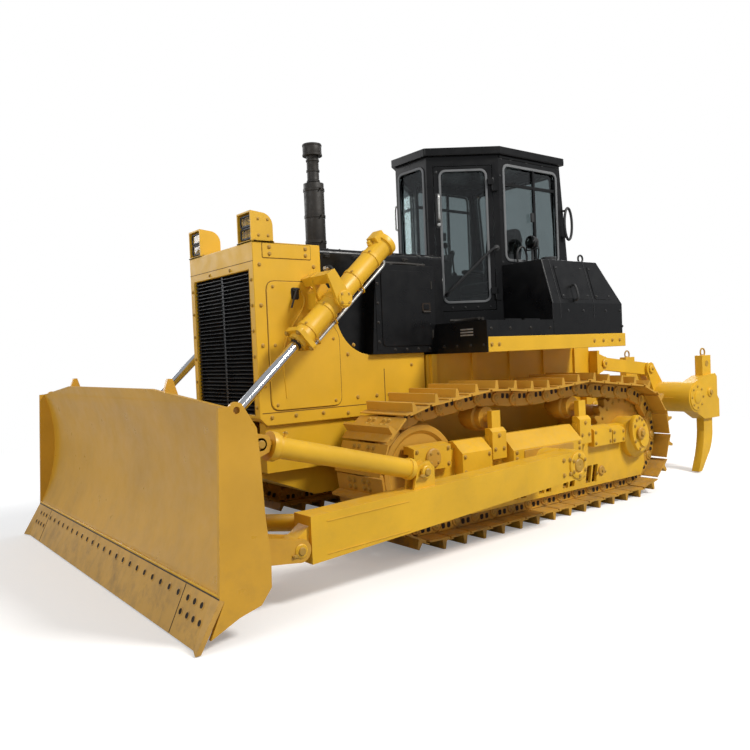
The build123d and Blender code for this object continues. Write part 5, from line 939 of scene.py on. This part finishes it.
# === Blade: cutting edge's bolts and joints, and welds ===
EDGE_TOP, EDGE_TIP = Vector((4790.0, 0, 262.0)), Vector((4910.0, 0, 6.0))
EDGE_LENGTH = (EDGE_TIP - EDGE_TOP).length
BLADE_HALF = 1858                        # half the blade's width
EDGE_BOLTS, EDGE_PITCH = 22, 132
edge_down = EDGE_TIP - EDGE_TOP
edge_out = Vector((-edge_down.z, 0, edge_down.x)).normalized()
edge = Face(at(*EDGE_TOP), Y, edge_down, edge_out)
bolt_holes = Part("edge_bolt_hole_shade", "hollow_shade", "blade_frame")
bolt_seats = Part("edge_bolt_seats", "edge", "blade_frame")
joints = Part("edge_joints", "dark", "blade_frame")
welds = Part("blade_welds", "yellow", "blade_frame")
holes = [(EDGE_PITCH * (k - (EDGE_BOLTS - 1) / 2), 66) for k in range(EDGE_BOLTS)]
for side, hand, out, here in SIDES:
    holes += [(hand * y, 66) for y in (1520, 1610, 1700)]
    holes += [(hand * y, 150) for y in (1490, 1580, 1660, 1740)]
    joints.plate(edge, rect(hand * 1442 - 3, 6, hand * 1442 + 3, EDGE_LENGTH - 4), 1.5)
for y, s in holes:
    bolt_seats.lathe(edge.at(y, s), edge_out, ((25, -2), (25, 2), (20, 3.5), (17, 1)), 18)
    # dark discs in the bolt holes: painted shade
    bolt_holes.lathe(edge.at(y, s), edge_out, ((17, 0), (17, 2.6), (12, 3.2), (9, 1.2)), 16)
joints.plate(edge, rect(-BLADE_HALF, -4, BLADE_HALF, 3), 1.6)
welds.bead(at(4786, -1850, 276), at(4786, 1850, 276), 7, 26)
for side, hand, out, here in SIDES:
    for z in (520, 345):
        welds.bead(here(4488, 60, z), here(4488, 1840, z), 6, 26)
    for y in (700, 760, 820, 880):
        welds.bead(here(4560, y, 520), here(4560, y, 700), 5, 22)
    # rim of the lifting hole in the end plate
    bolt_seats.lathe(here(4642, 1838, 1238), -out, ((44, -1), (44, 4), (38, 7), (24, 7)), 22)
finish(bolt_holes, bolt_seats, joints, welds)

# === Push arms and braces ===
ARM_SIDE = 1650.0
TRUNNION = (1500.0, 530.0)
ARM_PINS = ((3130, 690, 1650), (4372, 1010, 1618), (4160, 355, 1666))      # x, z and outer face
arm_bolts = Part("arm_bolts", "bolt", "blade_frame")
arm_caps = Part("arm_caps", "yellow", "blade_frame")
arm_pins = Part("arm_pins", "bolt", "blade_frame")
for side, hand, out, here in SIDES:
    trunnion = here(TRUNNION[0], ARM_SIDE, TRUNNION[1])
    arm_caps.lathe(trunnion, out, ((108, -2), (108, 10), (98, 16), (66, 16), (60, 8)), 36)
    arm_pins.lathe(trunnion, out, ((54, 0), (54, 14), (46, 20), (14, 20), (10, 16)), 28)
    arm_bolts.bolts(around(trunnion + out * 0.016, X, Z, 84, 6, pi / 6), out)
    corners = ((1602, 474), (1602, 586), (1680, 470), (1680, 590))
    arm_bolts.bolts([here(x, ARM_SIDE, z) for x, z in corners], out, 13)
    # pins of the brace and strut, with their keepers
    for x, z, face in ARM_PINS:
        arm_caps.lathe(here(x, face - 18, z), out, ((44, -2), (44, 12), (38, 17)), 24)
        arm_pins.lathe(here(x, face - 4, z), out, ((25, -2), (25, 10), (20, 14), (6, 14)), 18)
        arm_pins.side(face - 6, hand, rounded(x + 34, z - 22, 62, 20, 8), 6, 1.5)
        arm_bolts.bolt(here(x + 52, face, z - 22), out, 7)
    for z, rear_z in ((300, 324), (500, 518)):
        arm_caps.bead(here(3968, ARM_SIDE + 2, z), here(3300, ARM_SIDE + 2, rear_z), 3.5, 20)
    # the brace's threaded sleeve, and the lock nut with its grease fitting
    start, end = here(3130, 1565, 690), here(4372, 1565, 1010)
    run = (end - start).normalized()
    for share, radius in ((0.90, 70), (0.08, 68)):
        sleeve = ((radius, -18), (radius + 6, -14), (radius + 6, 14), (radius, 18))
        arm_caps.lathe(start.lerp(end, share), run, sleeve, 28)
    nut, fitting = start.lerp(end, 0.86), run.cross(Y).normalized()
    arm_caps.bar([nut + fitting * 0.062, nut + fitting * 0.092], 12)
    arm_bolts.bolt(nut + fitting * 0.090, fitting, 12)
finish(arm_bolts, arm_caps, arm_pins)

# === Lift cylinders ===
PIVOT, EYE = Vector((3236.0, 0, 1926.0)), Vector((4395.0, 0, 880.0))
LIFT_Y = 790
LIFT_LENGTH = (EYE - PIVOT).length
lift_run = (EYE - PIVOT).normalized()
lift_up = Vector((-lift_run.z, 0, lift_run.x))
for side, hand, out, here in SIDES:
    body = "lift_barrel_" + side
    y = hand * LIFT_Y
    # places run along the cylinder from its trunnion, up from it and across
    lift = Face(here(PIVOT.x, LIFT_Y, PIVOT.z), lift_run, lift_up, Y).at
    shell = Part("lift_fittings_" + side, "yellow", body)
    bolts = Part("lift_bolts_" + side, "bolt", body)
    pipe = Part("lift_pipe_" + side, "pale", body)
    seal = Part("lift_seal_" + side, "dark", body)
    # gland: corner bolts of its flange, its own bolts, and the wiper ring
    bolts.bolts([lift(450, a, across) for across in (-78, 78) for a in (-78, 78)], lift_run, 15)
    bolts.bolts(around(lift(480, 0), Y, lift_up, 58, 8, pi / 8), lift_run, 8)
    seal.band(lift(485, 0), lift_run, 38.5, 45, 7, 2)
    # straps round the barrel
    for s in (120, 340, -240, -480):
        shell.band(lift(s, 0), lift_run, 80, 88, 15)
        bolts.bolt(lift(s, 70, hand * 52), lift_up, 9)
    # feed pipe from the valve block to the gland, in its clips
    bends = ((-560, -70), (-540, -108), (-380, -112), (180, -112), (380, -108), (425, -84))
    pipe.tube([lift(s, a, hand * 10) for s, a in bends], 13, 12)
    for s in (-240, 120, 340):
        clip = ((-86, -34), (-128, -24), (-130, 24), (-86, 38))
        shell.tube([lift(s, a, across) for a, across in clip], 6, 6, 4)
    # plugs, couplings and end cover of the valve block
    for s, a in ((-640, 80), (-560, 84)):
        shell.lathe(lift(s, a), lift_up, ((24, -10), (24, 12), (18, 18), (18, 30), (12, 34)), 12)
    bolts.bolts([lift(s, 60, across) for s, across in ((-660, 30), (-660, -30), (-610, 36))], lift_up)
    bolts.lathe(lift(-690, 0), -lift_run, ((44, -2), (44, 12), (36, 18), (14, 18)), 24)
    bolts.bolts(around(lift(-690, 0), Y, lift_up, 64, 6), -lift_run, 10)
    finish(shell, bolts, pipe, seal)
    # hoses between the guard and the yoke, beside the pivot
    hose = Part("lift_hoses_" + side, "rubber")
    ends = Part("hose_ends_" + side, "pale")
    for shift in (0, 44):
        points = [here(3160 - shift, 560, 2190 - shift), here(3140 - shift, 606, 2200 - shift),
                  here(3110 - shift * 0.6, 634, 2130 - shift), here(3104 - shift, 612, 2030),
                  here(3120 - shift, 560, 1980 - shift)]
        hose.tube(points, 14)
        for end, ahead in ((points[0], points[1]), (points[-1], points[-2])):
            axis = (ahead - end).normalized()
            ends.lathe(end - axis * 0.004, axis, ((21, 0), (21, 16), (17, 20), (17, 42), (15, 46)), 6)
    finish(hose, ends)
    # the rod's eye, and the pin that it turns on
    eye_bolts = Part("lift_eye_bolts_" + side, "bolt", "lift_rod_" + side)
    eye_caps = Part("lift_eye_caps_" + side, "yellow", "lift_rod_" + side)
    eye_caps.band(lift(LIFT_LENGTH - 92, 0), lift_run, 36, 46, 20)
    eye_bolts.lathe(lift(LIFT_LENGTH - 20, 58), lift_up, ((7, -2), (7, 8), (4, 12), (4, 18)), 8)
    eye_bolts.bolts([lift(LIFT_LENGTH - 96, 40, across) for across in (-14, 14)], lift_up, 7)
    finish(eye_bolts, eye_caps)
    pins = Part("lift_pins_" + side, "bolt", "blade_frame")
    for face in (1, -1):
        head = ((52, -6), (52, 4), (46, 9), (18, 9), (14, 6))
        pins.lathe(at(EYE.x, y + face * 76, EYE.z), Y * face, head, 26)
        pins.bolt(at(EYE.x + 10, y + face * 84, EYE.z + 28), Y * face, 8)
    pins.done()

# === Yokes that carry the lift cylinders' trunnions ===
BRIDGE_ANGLE, BRIDGE_R = radians(60), 190
bridge_along = Vector((cos(BRIDGE_ANGLE), 0, sin(BRIDGE_ANGLE)))
bridge_up = Vector((-bridge_along.z, 0, bridge_along.x))
yoke = Part("yoke_bolts", "bolt")
yoke_caps = Part("yoke_caps", "yellow")
for side, hand, out, here in SIDES:
    trunnion = here(PIVOT.x, YOKE_SIDE, PIVOT.z)
    yoke_caps.lathe(trunnion, out, ((60, -4), (60, 8), (52, 14), (30, 14), (26, 10)), 28)
    yoke.bolts(around(trunnion + out * 0.012, X, Z, 43, 4, pi / 4), out, 9)
    foot = ((-72, 93.6), (-72, -130), (-10, 93.6), (20, -124.8))
    yoke.bolts([here(PIVOT.x + x, 560, PIVOT.z + z) for x, z in foot], out, 13)
    bridge = here(PIVOT.x, YOKE_SIDE - 50, PIVOT.z) + bridge_up * 0.040
    for shift in (-24, 24):
        place = bridge + bridge_along * BRIDGE_R / 1000 + Vector((shift * 0.5, 0, shift * 0.86)) / 1000
        yoke.bolt(place, bridge_up, 10)
    yoke_caps.bead(here(3300, 561, 2036), here(3140, 561, 2036), 5, 20)
    yoke_caps.bead(here(3340, 561, 1986), here(3340, 561, 1868), 5, 20)
finish(yoke, yoke_caps)

# === Ripper: pins of the arms and links ===
ARM_SPAN, LINK_SPAN = (425, 90), (580, 86)       # middle and half width of what a pin holds
RIPPER_PINS = {
    "chassis": ((-330.0, 840.0, ARM_SPAN), (-330.0, 1300.0, LINK_SPAN)),
    "ripper_tool": ((-1215.0, 740.0, ARM_SPAN), (-1215.0, 1200.0, LINK_SPAN)),
}
ripper_caps = {body: Part("pin_caps_" + body, "yellow", body) for body in RIPPER_PINS}
ripper_bolts = {body: Part("pin_bolts_" + body, "bolt", body) for body in RIPPER_PINS}
for body, pins in RIPPER_PINS.items():
    for x, z, (middle, half) in pins:
        for y, face in ((hand * middle, face) for hand in (1, -1) for face in (1, -1)):
            cap = ((46, -8), (46, 4), (40, 9), (22, 9))
            ripper_caps[body].lathe(at(x, y + face * half, z), Y * face, cap, 22)
            ripper_bolts[body].bolt(at(x, y + face * (half + 8), z), Y * face, 12)
finish(*ripper_caps.values(), *ripper_bolts.values())

# === Ripper: beam, pockets and shanks ===
BEAM_X, BEAM_Z = -1423, 871
SHANK_X, POCKET_REAR_X = -1745, -1838
SHANKS_Y = (-985, 0, 985)
beam = Part("beam_trim", "yellow", "ripper_tool")
beam_bolts = Part("beam_bolts", "bolt", "ripper_tool")
shank_pins = Part("shank_pins", "bolt", "ripper_tool")
for y in SHANKS_Y:
    beam_bolts.bolts([at(POCKET_REAR_X, y + across, z) for z in (700, 960) for across in (-24, 24)], -X, 13)
    for face in (1, -1):
        n = Y * face
        shank_pins.lathe(at(SHANK_X, y + face * 45, 1235), n, ((34, -1), (34, 3), (27, 5), (25, 2)), 22)
        beam.lathe(at(SHANK_X, y + face * 74, 905), n, ((52, -2), (52, 10), (44, 16), (30, 16)), 24)
        shank_pins.lathe(at(SHANK_X, y + face * 84, 905), n, ((28, -2), (28, 14), (22, 19), (8, 19)), 18)
    # lifting ring on the shank's top
    shank_pins.tube(around(at(SHANK_X, y, 1362), X, Z, 46, 10), 9, 8, 4, closed=True)
    shank_pins.lathe(at(SHANK_X, y, 1326), Z, ((26, -2), (26, 8), (18, 14)), 14)
for side, hand, out, here in SIDES:
    beam.bead(here(BEAM_X + 174, 900, BEAM_Z), here(BEAM_X + 174, 660, BEAM_Z), 6, 22)
    beam_bolts.bolts(around(here(BEAM_X, BEAM_SIDE, BEAM_Z), X, Z, 118, 8), out, 10)
    beam.lathe(here(BEAM_X, BEAM_SIDE - 2, BEAM_Z), out, ((70, -2), (70, 8), (62, 12), (20, 12)), 28)
finish(beam, beam_bolts, shank_pins)

# hoses from the machine's tail to the two ripper cylinders
for side, hand, out, here in SIDES:
    hose = Part("ripper_hoses_" + side, "rubber")
    for y in (250, 284):
        bends = ((-194, 0, 1400), (-250, 5, 1440), (-330, 8, 1420), (-360, 0, 1390))
        hose.tube([here(x, y + across, z) for x, across, z in bends], 11)
    hose.done()

# === Operator's seat ===
SEAT_X, SEAT_FILL = 700.0, 0.8
SQUARENESS = 0.30            # of a cushion's plan: 1 is an ellipse, 0 a rectangle
CHANNEL_SHARE = 0.7          # where the sewn channel runs, as a share of a cushion's half width


def cushion(name, place, right, forward, up, size, crown):
    """Closed pad: its faces swell, and its sides pull in between the corners."""
    width, depth, thick = size
    layers, count, face_share = 9, 48, 0.86
    rings = []
    for layer in range(layers + 1):
        t = -1 + 2 * layer / layers
        belly = sqrt(max(0.0, 1 - abs(t) ** 2.6))
        ring = []
        for k in range(count):
            a = 2 * pi * k / count
            px, py = (copysign(abs(c) ** SQUARENESS, c) for c in (cos(a), sin(a)))
            grow = (face_share + 0.14 * belly) * (1 - 0.03 * (1 - abs(sin(2 * a))))
            ring.append(place + (right * px * width / 2 * grow + forward * py * depth / 2 * grow
                                 + up * t * thick / 2) / 1000)
        rings.append(ring)
    low, high = [], []
    for share in (CHANNEL_SHARE, 0.45, 0.2):
        swell = (1 - share ** 2) * crown - (5 if share == CHANNEL_SHARE else 0)
        low.insert(0, [place + (point - place) * share / face_share for point in rings[0]])
        rise, top = up * thick / 2000, up * (thick / 2 + swell) / 1000
        high.append([place + (point - place - rise) * share / face_share + top for point in rings[-1]])
    part = Part(name, "cloth")
    part.skin(low + rings + high)
    pad = part.done(sharp=60)
    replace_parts(pad, "operator_seat")


def seat_at(x, y, z):
    """Place by the seat: from its middle, and above the floor."""
    return at(SEAT_X + x, y, DECK_TOP + z)


lean_up = Vector((-0.17, 0, 1)).normalized()
lean_out = Vector((1, 0, 0.17)).normalized()
cushion("seat_cushion", seat_at(20, 0, 385), Y, X, Z, (470, 480, 110), 26)
cushion("seat_back", seat_at(-205, 0, 745), Y, lean_up, lean_out, (450, 560, 100), 24)
shell = Part("seat_frame", "plastic")
shell.block((SEAT_X - 150, -150, DECK_TOP + 1), (SEAT_X + 150, 150, DECK_TOP + 210), 8)
shell.top(DECK_TOP + 210, rounded(SEAT_X, 0, 430, 430, 40), 50, 6)
shell.top(DECK_TOP + 258, rounded(SEAT_X + 10, 0, 460, 460, 60), 70, 10)
shell.plate(Face(seat_at(-272, 0, 700), Y, lean_up, lean_out), rounded(0, 0, 400, 540, 80, 6), 20, 5)
for hand in (1, -1):
    shell.bar([seat_at(x, hand * 262, z) for x, z in ((-200, 330), (-200, 560), (120, 580))], 14)
    shell.top(DECK_TOP + 582, rounded(SEAT_X - 20, hand * 262, 300, 70, 30), 34, 10)
for k in range(5):
    fold = 320 - 8 * (k % 2)
    shell.top(DECK_TOP + 60 + 26 * k, rounded(SEAT_X, 0, fold, fold, 30), 14, 5)
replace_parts(shell.done(), "operator_seat")

# === Levers, gauges and pedals ===
CONSOLE_Z = DECK_TOP + 560
LEVERS = ((860, 400, 300, 40), (800, 400, 260, -30), (900, -400, 320, 40), (820, -400, 240, 20))
GAUGES = ((-110, 70, 34), (0, 80, 44), (110, 70, 34), (-60, 20, 18), (60, 20, 18))
levers = Part("control_levers", "plastic")
knobs = Part("control_knobs", "rubber")
for x, y, height, tip in LEVERS:
    base = at(x, y, CONSOLE_Z)
    top = base + Vector((tip, 0, height)) / 1000
    levers.lathe(base, Z, ((46, -2), (40, 16), (26, 34), (14, 48)), 16)
    levers.bar([base, base.lerp(top, 0.5), top], 9)
    knobs.lathe(top, Z, ((12, -20), (24, -8), (28, 12), (22, 34), (8, 44)), 16)
dash_out = Vector((-1, 0, -0.35)).normalized()
dash = Face(at(1440, 0, CONSOLE_Z), Y, Vector((-0.35, 0, 1)), dash_out)
levers.plate(dash, rounded(0, 60, 360, 190, 30), 26, 8)
finish(levers, knobs)
gauges = Part("dash_gauges", "pale")
for y, s, r in GAUGES:
    gauges.lathe(dash.at(y, s, 26), dash_out, ((r, -2), (r, 5), (r - 5, 8), (r - 7, 3)), 22)
gauges.done()
pedals = Part("foot_pedals", "rubber")
for y in (-150, -50, 70, 160):
    pedal = Face(at(1290, y, DECK_TOP + 60), Y, Vector((0.5, 0, 1)), Vector((-1, 0, 0.5)))
    pedals.plate(pedal, rounded(0, 60, 70, 110, 16), 12, 4)
    pedals.bar([at(1300, y, DECK_TOP + 90), at(1380, y, DECK_TOP + 60)], 9)
pedals.done()

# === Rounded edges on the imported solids, in metres ===
EDGE_RADIUS = 0.004
WIDE_EDGES = {
    "blade": 0.006, "push_arms": 0.006, "engine_hood": 0.006, "radiator_guard": 0.010, "cab_roof": 0.012,
    "rear_tanks": 0.016,
}
SHARP_NODES = ("grille", "cab_glass", "door_glass_left", "door_glass_right")
for name, obj in nodes.items():
    if name in SHARP_NODES:
        continue
    weld = obj.modifiers.new("weld", "WELD")
    weld.merge_threshold = 0.00002
    bevel = obj.modifiers.new("soft_edge", "BEVEL")
    bevel.width = WIDE_EDGES.get(name, EDGE_RADIUS)
    bevel.segments = 1 if name.startswith("track_") else 2
    bevel.limit_method = "ANGLE"
    bevel.angle_limit = radians(40)
    bevel.use_clamp_overlap = True
    bevel.harden_normals = False
